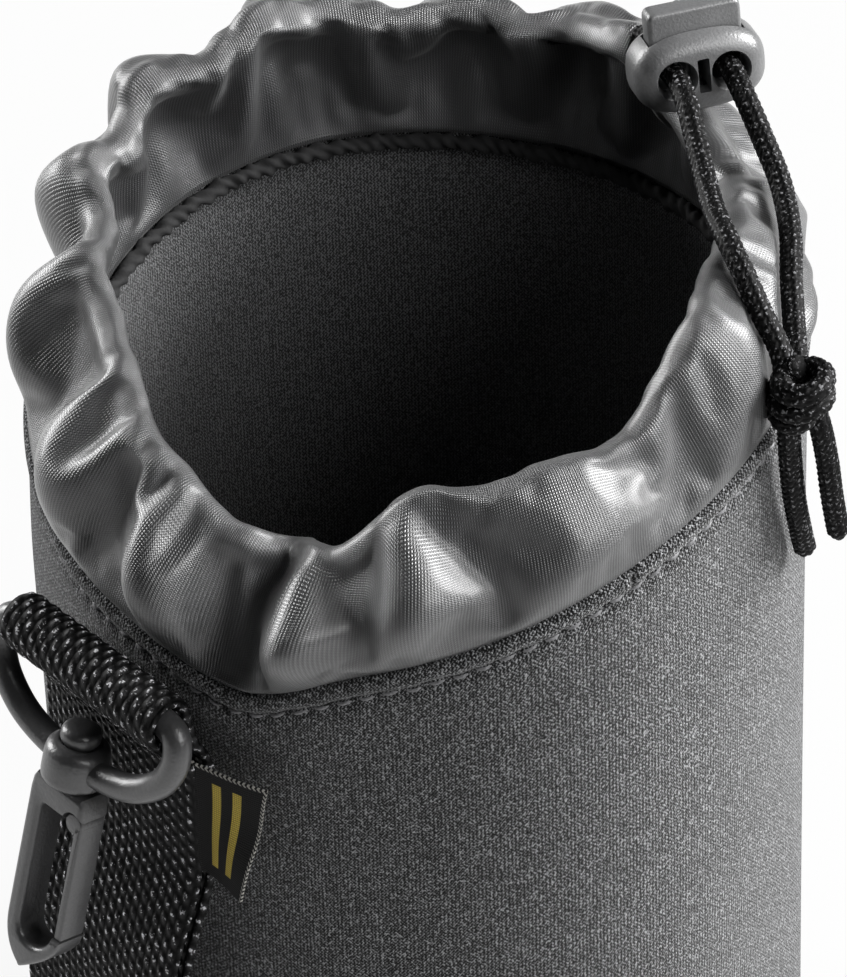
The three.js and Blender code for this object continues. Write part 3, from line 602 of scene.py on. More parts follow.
def make_piece(name, grids, finish, body=None, stands_for=(), sharp=None):
    """A mesh object of one or more grids, in metres, at the origin, riding on a body. Edges past the sharp angle
    aren't shaded smooth."""
    grids = [grids] if isinstance(grids, Grid) else grids
    start = np.cumsum([0] + [grid.points.shape[0] * grid.points.shape[1] for grid in grids])
    points = np.vstack([grid.points.reshape(-1, 3) for grid in grids]) * MM
    faces = []
    corners = []
    for grid, first in zip(grids, start):
        faces += (grid.quads + first).tolist()
        corners.append(grid.corner_uv.reshape(-1, 2))
        for cap in grid.caps:
            faces.append((cap + first).tolist())
            corners.append(np.zeros((len(cap), 2)))
    mesh = bpy.data.meshes.new(name)
    mesh.from_pydata(points.tolist(), [], faces)
    layer = mesh.uv_layers.new(name=CLOTH_MAP)
    layer.uv.foreach_set("vector", np.vstack(corners).astype(np.float32).ravel())
    value = np.concatenate([grid.value.ravel() for grid in grids]).astype(np.float32)
    mesh.attributes.new(CROWN, "FLOAT", "POINT").data.foreach_set("value", value)
    mesh.polygons.foreach_set("use_smooth", np.ones(len(faces), bool))
    mesh.materials.append(finish)
    mesh.update()
    made = bpy.data.objects.new(name, mesh)
    bpy.context.scene.collection.objects.link(made)
    if sharp:
        mesh.set_sharp_from_angle(angle=math.radians(sharp))
    if body:
        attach(made, body)
    if stands_for:
        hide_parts(*stands_for)
    return made


def thicken(made, thickness):
    """Gives a sheet its thickness, half to each side."""
    change = made.modifiers.new("thickness", "SOLIDIFY")
    change.thickness = thickness
    change.offset = 0.0


def cut_away(made, cutters):
    """Subtracts closed grids from a piece, exactly, and marks the cut's edges sharp."""
    finish = made.data.materials[0]
    for number, grid in enumerate(cutters):
        tool = make_piece(f"cutter{number}", grid, finish)
        change = made.modifiers.new("cut", "BOOLEAN")
        change.object = tool
        change.solver = "EXACT"
        with bpy.context.temp_override(object=made, active_object=made):
            bpy.ops.object.modifier_apply(modifier=change.name)
        bpy.data.objects.remove(tool)
    made.data.polygons.foreach_set("use_smooth", np.ones(len(made.data.polygons), bool))
    made.data.set_sharp_from_angle(angle=math.radians(SHARP_CUT))
    return made


# Materials


class Value:
    """A number in a material's nodes: Python's operators add Math nodes."""

    def __init__(self, finish, socket):
        self.finish = finish
        self.socket = socket

    def __add__(self, other):
        return self.finish.maths("ADD", self, other)

    def __sub__(self, other):
        return self.finish.maths("SUBTRACT", self, other)

    def __rsub__(self, other):
        return self.finish.maths("SUBTRACT", other, self)

    def __mul__(self, other):
        return self.finish.maths("MULTIPLY", self, other)

    def __truediv__(self, other):
        return self.finish.maths("DIVIDE", self, other)

    def __rtruediv__(self, other):
        return self.finish.maths("DIVIDE", other, self)

    __radd__ = __add__
    __rmul__ = __mul__

    def sine(self):
        """Sine of the number in radians."""
        return self.finish.maths("SINE", self)

    def floor(self):
        """The whole number below."""
        return self.finish.maths("FLOOR", self)

    def step(self, low, high):
        """0 below low and 1 above high, smoothly between."""
        settings = {"interpolation_type": "SMOOTHSTEP"}
        return self.finish.node("ShaderNodeMapRange", settings, {0: self, 1: low, 2: high}, "Result")


class Finish:
    """A procedural material, built node by node on one Principled shader."""

    def __init__(self, name, **constants):
        self.material = bpy.data.materials.new(name)
        self.material.use_nodes = True
        self.tree = self.material.node_tree
        self.shader = self.tree.nodes["Principled BSDF"]
        for socket, value in constants.items():
            self.shader.inputs[socket.replace("_", " ").title().replace("Ior", "IOR")].default_value = value

    def feed(self, socket, value):
        """Links a value to a socket, or sets the socket to a number or colour."""
        if isinstance(value, Value):
            self.tree.links.new(value.socket, socket)
        else:
            socket.default_value = value

    def node(self, kind, settings, inputs, output=0):
        """A node of a type: its settings first, then the values or links of its sockets."""
        made = self.tree.nodes.new(kind)
        for name, value in settings.items():
            setattr(made, name, value)
        for socket, value in inputs.items():
            self.feed(made.inputs[socket], value)
        return Value(self, made.outputs[output])

    def maths(self, operation, *values):
        """One Math node."""
        return self.node("ShaderNodeMath", {"operation": operation}, dict(enumerate(values)))

    def cloth(self):
        """The piece's own map in millimetres, along and across the cloth."""
        both = self.node("ShaderNodeUVMap", {"uv_map": CLOTH_MAP}, {})
        split = self.node("ShaderNodeSeparateXYZ", {}, {0: both})
        return split, Value(self, split.socket.node.outputs[1])

    def crown(self):
        """How far a yarn stands up, as the piece's own attribute."""
        return self.node("ShaderNodeAttribute", {"attribute_name": CROWN}, {}, "Fac")

    def noise(self, per_metre, detail=2.0, rough=0.5):
        """Noise in the object's own space, from 0 to 1."""
        place = self.node("ShaderNodeTexCoord", {}, {}, "Object")
        inputs = {"Vector": place, "Scale": per_metre, "Detail": detail, "Roughness": rough}
        return self.node("ShaderNodeTexNoise", {}, inputs, 0)

    def mix(self, share, low, high):
        """A colour between two colours."""
        inputs = {0: share, 6: as_colour(low), 7: as_colour(high)}
        return self.node("ShaderNodeMix", {"data_type": "RGBA"}, inputs, 2)

    def finish(self, colour, roughness=None, height=None, distance=0.0001, strength=1.0):
        """The material, with its colour, its roughness and a bump of a height."""
        self.feed(self.shader.inputs["Base Color"], colour)
        if roughness is not None:
            self.feed(self.shader.inputs["Roughness"], roughness)
        if height is not None:
            inputs = {"Height": height, "Distance": distance, "Strength": strength}
            self.feed(self.shader.inputs["Normal"], self.node("ShaderNodeBump", {}, inputs))
        return self.material


def as_colour(value):
    """A colour with its alpha, or a value as it is."""
    return value if isinstance(value, Value) else (*value, 1.0)


def shade(colour, factor):
    """A colour made lighter or darker."""
    return tuple(min(1.0, channel * factor) for channel in colour)


def neoprene_finish(colours):
    """Jersey knit on foam: courses and wales under a millimetre, pale specks between dark ones, a soft mottle, and
    the inside face painted lighter as painted light.
    """
    f = Finish("knit_neoprene", specular_ior_level=0.12, sheen_weight=0.3, sheen_roughness=0.5)
    u, v = f.cloth()
    course = (v * (TAU / KNIT_COURSE)).sine()
    wale = (u * (TAU / KNIT_WALE) + course * 0.9).sine()
    grain = f.noise(2300.0, 1.0, 0.6)
    mottle = f.noise(55.0, 2.0)
    knit = wale * course * 0.7 + wale * 0.1 + (grain - 0.5) * 3.0
    tone = (knit * 1.4 + 0.30 + (mottle - 0.5) * 0.25).step(0.0, 1.0)
    base = f.mix(tone, shade(colours.neoprene, 0.02), shade(colours.neoprene, 4.4))
    speck = (grain + wale * course * 0.06).step(0.60, 0.68)
    outside = f.mix(speck * 0.7, base, shade(colours.neoprene, 11.0))
    # Painted light: the lining is the same knit, painted lighter on the inside face of the mouth
    painted_lighter_lining = f.mix(tone, shade(colours.neoprene, 0.8), shade(colours.neoprene, 5.6))
    colour = f.mix(f.crown(), outside, painted_lighter_lining)
    return f.finish(colour, 0.95 - tone * 0.2, knit, 0.00013, 0.7)


def nylon_finish(colours):
    """Plain satin weave of half a millimetre, with a cloudy sheen and fine crinkles."""
    f = Finish(
        "satin_nylon", specular_ior_level=1.0, sheen_weight=0.1, sheen_roughness=0.4, coat_weight=0.5,
        coat_roughness=0.3,
    )
    u, v = f.cloth()
    rib = (v * (TAU / NYLON_RIB)).sine()
    weave = rib * 0.5 + rib * (u * (TAU / NYLON_YARN)).sine() * 0.6
    cloud = f.noise(70.0, 3.0)
    crinkle = f.noise(300.0, 3.0, 0.5)
    tone = (weave * 0.5 + cloud * 0.7 + 0.12).step(0.0, 1.0)
    colour = f.mix(tone, shade(colours.nylon, 0.15), shade(colours.nylon, 2.1))
    return f.finish(colour, cloud * 0.14 + 0.29 - weave * 0.04, weave * 0.3 + crinkle * 1.0, 0.0003, 0.6)


def cord_finish(colours):
    """Braided yarn: plaits painted dark in their gaps as painted shade and lighter on their crowns as painted
    light, with pale flecks on the crowns as painted glints.
    """
    f = Finish("braided_cord", specular_ior_level=0.14)
    crown = f.crown()
    yarn_glint_noise = f.noise(1900.0, 2.0)
    # Painted shade in the gaps between plaits and painted light on their crowns
    tone = (crown * 0.8 + (yarn_glint_noise - 0.5) * 0.9).step(0.15, 0.95)
    colour = f.mix(tone, shade(colours.cord, 0.3), shade(colours.cord, 3.0))
    # Painted glints: pale flecks on the plaits' crowns
    bright = f.mix((yarn_glint_noise + crown * 0.2).step(0.72, 0.82), colour, shade(colours.cord, 70.0))
    return f.finish(bright, 0.65 - crown * 0.2, yarn_glint_noise, 0.00012, 0.7)


def webbing_finish(colours):
    """Coarse webbing: yarns in lanes, each over and under in turn, painted black in the gaps as painted shade and
    pale on the crowns as painted glints.
    """
    f = Finish("coarse_webbing", specular_ior_level=0.16)
    u, v = f.cloth()
    lane = (v / YARN_WIDTH).floor()
    part = v / YARN_WIDTH - lane
    rounded = part * (1.0 - part) * 4.0
    over = ((u / FLOAT_LENGTH + lane * 0.5 + part * 0.3) * TAU).sine() * 0.5 + 0.5
    fibre = f.noise(1700.0, 3.0, 0.65)
    crown = rounded * (over * 0.8 + 0.2)
    # Painted shade in the gaps between yarns, lighter on their crowns
    tone = (crown * 0.9 + (fibre - 0.5) * 0.8).step(0.15, 1.0)
    colour = f.mix(tone, shade(colours.webbing, 0.1), shade(colours.webbing, 3.0))
    # Painted glints: pale specks on the yarns' crowns
    painted_glint = (crown * 0.6 + (fibre - 0.5) * 2.0).step(0.56, 0.72)
    bright = f.mix(painted_glint, colour, shade(colours.webbing, 70.0))
    return f.finish(bright, 0.66 - crown * 0.25, crown + fibre * 0.35, 0.0005, 0.9)


def thread_finish(colours, name, factor, rough):
    """Twisted sewing thread."""
    f = Finish(name, specular_ior_level=0.6)
    twist = f.noise(2400.0, 2.0)
    colour = f.mix(twist, shade(colours.thread, 0.5 * factor), shade(colours.thread, 2.2 * factor))
    return f.finish(colour, twist * 0.3 + rough, twist, 0.00008, 0.8)


def plastic_finish(name, colour, rough, grain_size, gloss):
    """Moulded plastic: a fine spark-eroded grain, cloudy gloss and light handling marks."""
    f = Finish(name, specular_ior_level=gloss)
    grain = f.noise(grain_size, 2.0)
    cloud = f.noise(160.0, 3.0)
    rub = f.noise(420.0, 4.0, 0.7).step(0.6, 0.78)
    tone = (cloud * 0.6 + grain * 0.5).step(0.2, 0.95)
    base = f.mix(tone, shade(colour, 0.75), shade(colour, 1.3))
    return f.finish(f.mix(rub * 0.25, base, shade(colour, 2.0)), cloud * 0.16 + rough, grain, 0.0001, 0.6)


def steel_finish():
    """Drawn spring wire."""
    f = Finish("spring_wire", metallic=1.0)
    grain = f.noise(1800.0, 2.0)
    dull, bright = (0.24, 0.24, 0.25), (0.6, 0.6, 0.61)
    return f.finish(f.mix(grain, dull, bright), grain * 0.2 + 0.25)


def label_finish(colours):
    """Woven label: ribs across it, two plain stripes along it, and pale selvedge stitches on its free edges."""
    f = Finish("label_weave", specular_ior_level=0.16)
    u, v = f.cloth()
    rib = (v * (TAU / LABEL_RIB)).sine() * 0.5 + 0.5
    warp = (u * (TAU / LABEL_WARP)).sine() * 0.5 + 0.5
    full = LABEL_TUCK + LABEL_REACH
    far = LABEL_HEIGHT - STRIPE_INSET
    along = v.step(STRIPE_INSET, STRIPE_INSET + 0.3) * (1.0 - v.step(far - 0.3, far))
    first, second = (u.step(low, low + 0.2) - u.step(high - 0.2, high) for low, high in LABEL_STRIPES)
    stripes = (first + second) * along
    edge = u.step(full - 0.55, full - 0.4) + v.step(LABEL_HEIGHT - 0.5, LABEL_HEIGHT - 0.35)
    dash = ((u + v) * (TAU / SELVEDGE_DASH)).sine().step(-0.3, 0.2)
    ground = f.mix(rib * 0.5 + warp * 0.3, shade(colours.label, 0.5), shade(colours.label, 2.6))
    gold = f.mix(rib * 0.6 + warp * 0.25, shade(colours.stripe, 0.35), shade(colours.stripe, 1.3))
    colour = f.mix(stripes, ground, gold)
    colour = f.mix(edge.step(0.2, 0.8) * dash, colour, SELVEDGE_COLOUR)
    return f.finish(colour, 0.75 - stripes * 0.2, rib + warp * 0.5 + stripes, 0.00012, 0.8)


# The tube, its base and its seams


def soft_relief(angle, height):
    """Slow hollows of a foam wall: three waves round and up it, under a millimetre."""
    return (
        0.35 * sine(2 * angle + 40.0) * sine(height * 1.7)
        + 0.22 * sine(3 * angle + 110.0 + height * 0.8)
        + 0.14 * sine(7 * angle - height * 2.1)
    )


def pucker(angle, drop, length):
    """Dimples that the topstitch pulls into the foam, deepest at the needle holes."""
    turn = angle / 360.0 * round(TAU * BODY_RADIUS / length)
    holes = 0.5 + 0.5 * np.cos(TAU * turn)
    return -(0.34 + 0.4 * holes) * np.exp(-(((drop - STITCH_DROP) / 1.15) ** 2))


def wall_grid(length):
    """The tube's wall: a closed section of foot, outside, top and inside, carried round under the wavy rim."""
    angle = once_round(440)[:, None]
    rim = rim_height(angle)
    turn = np.linspace(0.0, 90.0, 7)[None]
    foot_r = BODY_RADIUS - FOOT_ROUND * (1 - sine(turn)) + 0 * angle
    foot_z = FOOT_ROUND * (1 - cosine(turn)) + 0 * angle
    share = np.linspace(0.0, 1.0, 120)[None] ** 0.8
    top = rim - STITCH_DROP + 0.6
    out_z = FOOT_ROUND + 1.0 + (top - FOOT_ROUND - 1.0) * share
    ease = smooth_step(out_z, 5.0, 30.0) * smooth_step(rim - out_z, 4.0, 30.0)
    out_r = BODY_RADIUS + soft_relief(angle, out_z) * ease + pucker(angle, rim - out_z, length) - 0.1
    over = np.linspace(0.0, 1.0, 5)[None]
    over_r = BODY_RADIUS - 1.6 - (WALL - 3.2) * over + 0 * angle
    over_z = top - 0.2 + 0 * over
    in_z = top - 1.0 - (top - 1.5) * np.linspace(0.0, 1.0, 60)[None]
    in_r = BODY_RADIUS - WALL + 0.15 * soft_relief(angle + 60.0, in_z)
    radius = np.concatenate([foot_r, out_r, over_r, in_r], axis=1)
    height = np.concatenate([foot_z, out_z, over_z, in_z], axis=1)
    # Rows of the lining, which the knit's colour paints lighter as painted light
    painted_lighter_lining = np.arange(radius.shape[1]) >= foot_r.shape[1] + out_r.shape[1]
    return Grid(around(radius, angle, height), True, True, value=painted_lighter_lining[None].astype(float))


def band_grid(length):
    """The folded rim strip: a closed section over the rim, puffed between the topstitch and the edge."""
    angle = once_round(SEAM_STEPS)[:, None]
    rim = rim_height(angle)
    section = np.array([
        (59.0, -5.0), (59.1, -4.8), (59.3, -4.5), (59.7, -4.0), (60.1, -3.4), (60.35, -2.8), (60.4, -2.1),
        (60.3, -1.4), (60.05, -0.8), (59.6, -0.3), (58.9, -0.05), (58.0, 0.05), (57.0, 0.05), (56.0, 0.0),
        (55.2, -0.2), (54.5, -0.6), (54.05, -1.3), (53.95, -2.4), (54.0, -3.6), (54.0, -4.8), (54.0, -6.0),
        (54.1, -6.8), (54.5, -7.0), (54.9, -6.7), (55.1, -4.5), (55.2, -2.2), (56.2, -1.4), (57.8, -1.4),
        (58.4, -2.2), (58.5, -3.6), (58.6, -4.6),
    ])
    outside = np.clip((section[:, 0] - 59.0) / 1.0, 0.0, 1.0)[None]
    joint = 0.75 * bell(angle, BAND_JOINT, 0.45) - 0.28 * bell(angle, BAND_JOINT, 1.6)
    drop = -section[None, :, 1]
    radius = section[None, :, 0] + outside * (pucker(angle, drop, length) * 0.8 - joint)
    ripple = 0.16 * sine(angle * 31.0) + 0.1 * sine(angle * 53.0 + 50.0)
    return Grid(around(radius, angle, rim + section[None, :, 1] + ripple * outside), True, True)


def base_grid():
    """The sewn-in base: a flat disc with rounded edges, turned about the pouch's axis."""
    edge = BODY_RADIUS - WALL - CLEARANCE
    rings = np.linspace(0.4, edge - 1.0, 30)
    bottom = [(r, 0.02) for r in rings]
    side = [(edge - 0.3, 0.25), (edge, 1.2), (edge, 4.8), (edge - 0.3, 5.75)]
    top = [(r, BASE_THICKNESS + 0.12 * math.sin(r * 0.4)) for r in rings[::-1]]
    return Grid(lathe(bottom + side + top, 96), True, True)


def seam_grid(radius, height, bead, pitch):
    """An overlocked seam: a bead round the inside with thread wraps slanting over it."""
    angle = once_round(SEAM_STEPS)[:, None]
    turn = once_round(16)[None]
    wraps = round(TAU * radius / pitch)
    uneven = 30.0 * sine(angle * 17.0) + 22.0 * sine(angle * 29.0 + 40.0)
    wrap = np.abs(np.cos(np.radians(angle * wraps / 2 + 1.4 * turn + uneven))) ** 2
    loose = 0.30 * sine(angle * 37.0 + 2 * turn) + 0.26 * sine(angle * 61.0 - turn) + 0.2 * sine(angle * 113.0)
    reach = bead / 2 * (0.66 + 0.34 * wrap + 0.4 * loose)
    return Grid(around(radius + reach * cosine(turn), angle, height + reach * sine(turn)), True, True, value=wrap)


def stitch_grids(length):
    """Topstitches: short thread arches, out by 1 - t^2 along each stitch, all round the rim."""
    count = round(TAU * BODY_RADIUS / length)
    chance = np.random.default_rng(STITCH_SEED)
    grids = []
    for middle in (np.arange(count) + 0.5) * 360.0 / count:
        along = np.linspace(-1.0, 1.0, 8)
        angle = middle + along * 360.0 / count * 0.33
        radius = BODY_RADIUS - 1.0 + 0.62 * (1 - along**2)
        slip = chance.normal(0.0, 0.12, 2)
        path = around(radius, angle, rim_height(angle) - STITCH_DROP + slip[0] + slip[1] * along)
        grids.append(solid(sweep(path, circle(0.30, 7))))
    return grids


class POUCH_OT_neoprene(bpy.types.Operator):
    """Makes the foam tube, its rim strip and its base"""

    bl_idname = "pouch.neoprene"
    bl_label = "Neoprene Tube"

    def execute(self, context):
        finish = neoprene_finish(context.scene.pouch_colours)
        length = context.scene.pouch_sizes.stitch_length / MM
        for name, grid, node, fill in (
            ("pouch_wall", wall_grid(length), "side_wall", 0.8),
            ("rim_strip", band_grid(length), "rim_binding", 0.7),
            ("pouch_base", base_grid(), "base_disc", 0.8),
        ):
            make_piece(name, grid, finish, "pouch", [node])
        return {"FINISHED"}


class POUCH_OT_seams(bpy.types.Operator):
    """Sews the overlocked seams inside and the topstitch outside"""

    bl_idname = "pouch.seams"
    bl_label = "Seams and Topstitch"

    def execute(self, context):
        colours = context.scene.pouch_colours
        dark = thread_finish(colours, "overlock_thread", 0.22, 0.7)
        inside = BODY_RADIUS - WALL - CLEARANCE - 1.5
        rim_seam = seam_grid(inside, rim_height(once_round(SEAM_STEPS)[:, None]) - 3.2, 2.8, 2.3)
        make_piece("rim_overlock", rim_seam, dark, "pouch", ["rim_seam"])
        base_seam = seam_grid(inside, BASE_THICKNESS + CLEARANCE + 1.5, 3.0, 2.0)
        make_piece("base_overlock", base_seam, dark, "pouch", ["base_seam"])
        # Painted highlights: the dark topstitch thread is painted 2.6 times lighter than the thread colour
        bright = thread_finish(colours, "topstitch_thread", 2.6, 0.3)
        length = context.scene.pouch_sizes.stitch_length / MM
        make_piece("rim_topstitch", stitch_grids(length), bright, "pouch")
        return {"FINISHED"}


# The collar


def belly(angle):
    """How far the collar bellies out: less at the front left and the right, and more beside the lock."""
    return with_bells(BELLY, angle, BELLY_CHANGES)


def collar_points():
    """The collar's cloth before it settles. In each column it is a quadratic curve up the inside, a roll of the
    hem's radius over the drawcord, and a quadratic curve down the outside; folds lean on their way up."""
    angle = once_round(COLLAR_COLUMNS)[None]
    hem_r, hem_z = folded_hem(angle)
    window = smooth_step(WINDOW_HALF + 5.0 - np.abs(angle - WINDOW_ANGLE), 0.0, 9.0)
    hem_z = hem_z - WINDOW_DROP * window + 0.08 * (1 - window) * sine(53.0 * angle + 30.0)
    hem_r = hem_r + (1 - window) * (0.10 * sine(41.0 * angle) + 0.06 * sine(67.0 * angle + 70.0))
    rim = rim_height(angle)
    puff = belly(angle)

    def curve(share, foot_r, foot_z, out, top_r, top_z):
        """Radius and height of a quadratic curve that bellies out from a foot to a top."""
        middle_z = (foot_z + top_z) / 2
        radius = (1 - share) ** 2 * foot_r + 2 * share * (1 - share) * (foot_r + out) + share**2 * top_r
        height = (1 - share) ** 2 * foot_z + 2 * share * (1 - share) * middle_z + share**2 * top_z
        return radius, height

    def folded(radius, share, size):
        """A radius with the skirt's folds, strongest halfway up."""
        swell = np.sin(np.pi * share) ** 0.8
        for at, width, out, lean in SKIRT_FOLDS:
            radius = radius + size * out * bell(angle, at + lean * (share - 0.5), width) * swell
        return radius

    up = np.linspace(0.0, 1.0, INNER_ROWS)[:, None]
    in_r, in_z = curve(up, BODY_RADIUS - WALL - 0.6, rim - 2.2, 0.55 * puff, hem_r - HEM_ROLL, hem_z)
    turn = np.linspace(180.0, HEM_ROLL_START, ROLL_ROWS + 2)[1:-1, None]
    roll_r, roll_z = hem_r + HEM_ROLL * cosine(turn), hem_z + HEM_ROLL * sine(turn)
    down = np.linspace(1.0, 0.0, OUTER_ROWS)[:, None]
    top_r, top_z = hem_r + HEM_ROLL * cosine(HEM_ROLL_START), hem_z + HEM_ROLL * sine(HEM_ROLL_START)
    out_r, out_z = curve(down, BODY_RADIUS - 0.6, rim + 0.3, puff, top_r, top_z)
    radius = np.concatenate([folded(in_r, up, 0.6), roll_r, folded(out_r, down, 1.0)], axis=0)
    return around(radius, angle, np.concatenate([in_z, roll_z, out_z], axis=0))


def uncut(points, slack):
    """The collar's cloth before it was gathered: wider round the pouch by the slack, as high as it is now. Least of
    it lies at the right."""
    share = np.sin(np.linspace(0.0, np.pi, len(points))) ** 0.6
    spare = slack * with_bells(1.0, once_round(points.shape[1]), SLACK_CHANGES)
    wider = 1.0 + (share[:, None] * spare)[..., None]
    return points * np.concatenate([wider, wider, np.ones_like(wider)], axis=2)


def settled(points, rest, held, frames):
    """The cloth after it has been gathered: it starts in its rest shape, its held points are drawn to their places
    in the first half of the steps, and it buckles into folds between them. The cloth runs at ten times its size,
    where its springs are well behaved."""
    grow = 10.0
    grid = Grid(points, False, True)
    mesh = bpy.data.meshes.new("settling")
    mesh.from_pydata((rest.reshape(-1, 3) * MM * grow).tolist(), [], grid.quads.tolist())
    cloth = bpy.data.objects.new("settling", mesh)
    bpy.context.scene.collection.objects.link(cloth)
    cloth.shape_key_add(name="uncut", from_mix=False)
    drawn = cloth.shape_key_add(name="gathered", from_mix=False)
    drawn.data.foreach_set("co", (points.ravel() * MM * grow).astype(np.float32))
    for number, value in ((1, 0.0), (frames // 2, 1.0)):
        drawn.value = value
        drawn.keyframe_insert("value", frame=number)
    group = cloth.vertex_groups.new(name="held")
    flat = held.ravel()
    for weight in np.unique(flat[flat > 0]):
        group.add(np.flatnonzero(flat == weight).tolist(), float(weight), "REPLACE")
    change = cloth.modifiers.new("cloth", "CLOTH")
    how = change.settings
    how.quality = 6
    how.mass = 0.05
    how.air_damping = 2.0
    how.tension_stiffness = how.compression_stiffness = 20.0
    how.shear_stiffness = 8.0
    how.bending_stiffness = 5.0
    how.vertex_group_mass = "held"
    how.pin_stiffness = 1.0
    how.effector_weights.gravity = 0.0
    change.collision_settings.use_collision = False
    change.collision_settings.use_self_collision = False
    scene = bpy.context.scene
    for number in range(1, frames + 1):
        scene.frame_set(number)
    found = np.empty(points.size, np.float32)
    shown = cloth.evaluated_get(bpy.context.evaluated_depsgraph_get())
    shown.data.vertices.foreach_get("co", found)
    scene.frame_set(1)
    bpy.data.objects.remove(cloth)
    return found.reshape(points.shape).astype(float) / (MM * grow)


def capped(points, start, most, most_out):
    """Points moved from their start by no more than a distance for each row, and outward by less."""
    move = points - start
    far = np.linalg.norm(move, axis=-1, keepdims=True)
    moved = start + move * np.minimum(1.0, most[:, None, None] / np.maximum(far, 1e-9))
    return inside(moved, np.hypot(start[..., 0], start[..., 1]) + np.minimum(most, most_out)[:, None])


def inside(points, limit):
    """Points drawn in toward the pouch's axis, to a radius of the limit."""
    radius = np.hypot(points[..., 0], points[..., 1])
    share = np.minimum(1.0, limit / np.maximum(radius, 1e-9))
    return points * np.stack([share, share, np.ones_like(share)], axis=-1)


def under_cord(points, line, gap):
    """Cloth under a cord that lies on it: in a strip along the cord its radius stays below the cord's own, and the
    limit rises with the distance from the strip."""
    flat = points.reshape(-1, 3)
    angle, line_angle = (np.arctan2(each[:, 0], -each[:, 1]) for each in (flat, line))
    line_radius = np.hypot(line[:, 0], line[:, 1])
    aside = np.hypot((angle[:, None] - line_angle[None]) * BODY_RADIUS, flat[:, None, 2] - line[None, :, 2])
    place = aside.argmin(axis=1)
    far = aside[np.arange(len(flat)), place]
    limit = line_radius[place] - gap + 0.5 * np.maximum(0.0, far - gap) ** 1.5
    return inside(points, limit.reshape(points.shape[:2]))


def pushed_clear(points, line, gap):
    """Points nearer than the gap to a line are pushed away from it, out to the gap."""
    flat = points.reshape(-1, 3)
    reach = np.linalg.norm(line - line.mean(axis=0), axis=1).max() + gap
    near = np.flatnonzero(np.linalg.norm(flat - line.mean(axis=0), axis=1) < reach)
    away = flat[near, None] - line[None]
    far = np.linalg.norm(away, axis=2)
    place = far.argmin(axis=1)
    rows = np.arange(len(near))
    short = np.maximum(0.0, gap - far[rows, place])
    moved = flat.copy()
    moved[near] += away[rows, place] / np.maximum(far[rows, place], 1e-6)[:, None] * short[:, None]
    return moved.reshape(points.shape)


def kept_off_rim(points):
    """Cloth that sinks into the rim is lifted onto it, or moved out in front of the tube."""
    radius = np.hypot(points[..., 0], points[..., 1])
    angle = np.degrees(np.arctan2(points[..., 0], -points[..., 1]))
    floor = rim_height(angle) + 0.25
    low = points[..., 2] < floor
    outside = radius > BODY_RADIUS - 1.0
    out = np.where(low & outside, np.maximum(radius, BODY_RADIUS + 0.9), radius)
    return around(out, angle, np.where(low & ~outside, floor, points[..., 2]))


class POUCH_OT_collar(bpy.types.Operator):
    """Gathers the nylon collar and lets its cloth settle"""

    bl_idname = "pouch.collar"
    bl_label = "Nylon Collar"

    def execute(self, context):
        sizes = context.scene.pouch_sizes
        start = collar_points()
        points = start
        roll_end = INNER_ROWS + ROLL_ROWS
        held = np.zeros(start.shape[:2])
        held[[0, 1, -2, -1]] = 1.0
        held[INNER_ROWS + 1:roll_end - 2] = 1.0
        round_lock = np.abs(once_round(COLLAR_COLUMNS) - WINDOW_ANGLE) < WINDOW_HALF + 6.0
        held[INNER_ROWS - 1:roll_end + 1, round_lock] = 1.0
        row = np.arange(len(start))
        from_hem = np.maximum(0, np.maximum(INNER_ROWS - row, row - roll_end))
        most = np.minimum(MOST_MOVE, HEM_MOVE + from_hem)
        loose = settled(start, uncut(start, sizes.cloth_slack), held, sizes.settle_frames)
        points = capped(loose, start, most, MOST_OUT)
        points[INNER_ROWS:] = kept_off_rim(points[INNER_ROWS:])
        clear = sizes.cord_diameter / MM / 2 + CORD_ROOM
        for route in (RUN_A_ROUTE, RUN_B_ROUTE, FEED_A_ROUTE, FEED_B_ROUTE[4:]):
            points = pushed_clear(points, smooth_route(from_rim(route), 1.0), clear)
        for route in (RUN_A_ROUTE[8:], RUN_B_ROUTE[5:]):
            laid = smooth_route(from_rim(route), 1.0)
            points[roll_end:] = under_cord(points[roll_end:], laid, clear)
        points = pushed_clear(points, hem_line(1.2), clear + 0.1)
        points = pushed_clear(points, smooth_route(from_rim(FEED_B_ROUTE[:4]), 1.2), clear + 0.8)
        flat_u = np.linspace(0.0, CUT_WIDTH, COLLAR_COLUMNS + 1)
        flat_v = np.linspace(0.0, CUT_HEIGHT, len(points))
        uv = np.stack(np.meshgrid(flat_v, flat_u, indexing="ij"), axis=-1)
        grid = Grid(points, False, True, uv=uv)
        made = make_piece(
            "nylon_collar", grid, nylon_finish(context.scene.pouch_colours), "pouch", ["collar"],
        )
        fine = made.modifiers.new("smooth", "SUBSURF")
        fine.levels = fine.render_levels = 1
        thicken(made, sizes.cloth_thickness)
        return {"FINISHED"}


# The drawcord


def braid(path, radius, pitch, taper=0.0):
    """A braided tube: eight columns of plaits, each a chevron whose height falls with the distance from its
    crown, carried along the path."""
    reach = distance_along(path)[:, None]
    turn = np.linspace(0.0, 1.0, BRAID_SIDES, endpoint=False)[None]
    column = turn * BRAID_COLUMNS
    across = np.abs(column - np.floor(column) - 0.5) * 2.0
    flip = np.where(np.floor(column) % 2 == 0, 0.0, 0.5)
    plait = np.abs(np.cos(np.pi * (reach / pitch + across * 0.75 + flip)))
    crown = np.sqrt(plait) * (1.0 - 0.55 * across**2)
    width = radius * (0.80 + 0.24 * crown)
    if taper:
        end = reach[-1] - reach
        width = width * np.sqrt(np.clip(end / taper, 0.06, 1.0))
    section = np.stack([width * np.cos(TAU * turn), width * np.sin(TAU * turn)], axis=-1)
    return solid(sweep(path, section), value=crown)


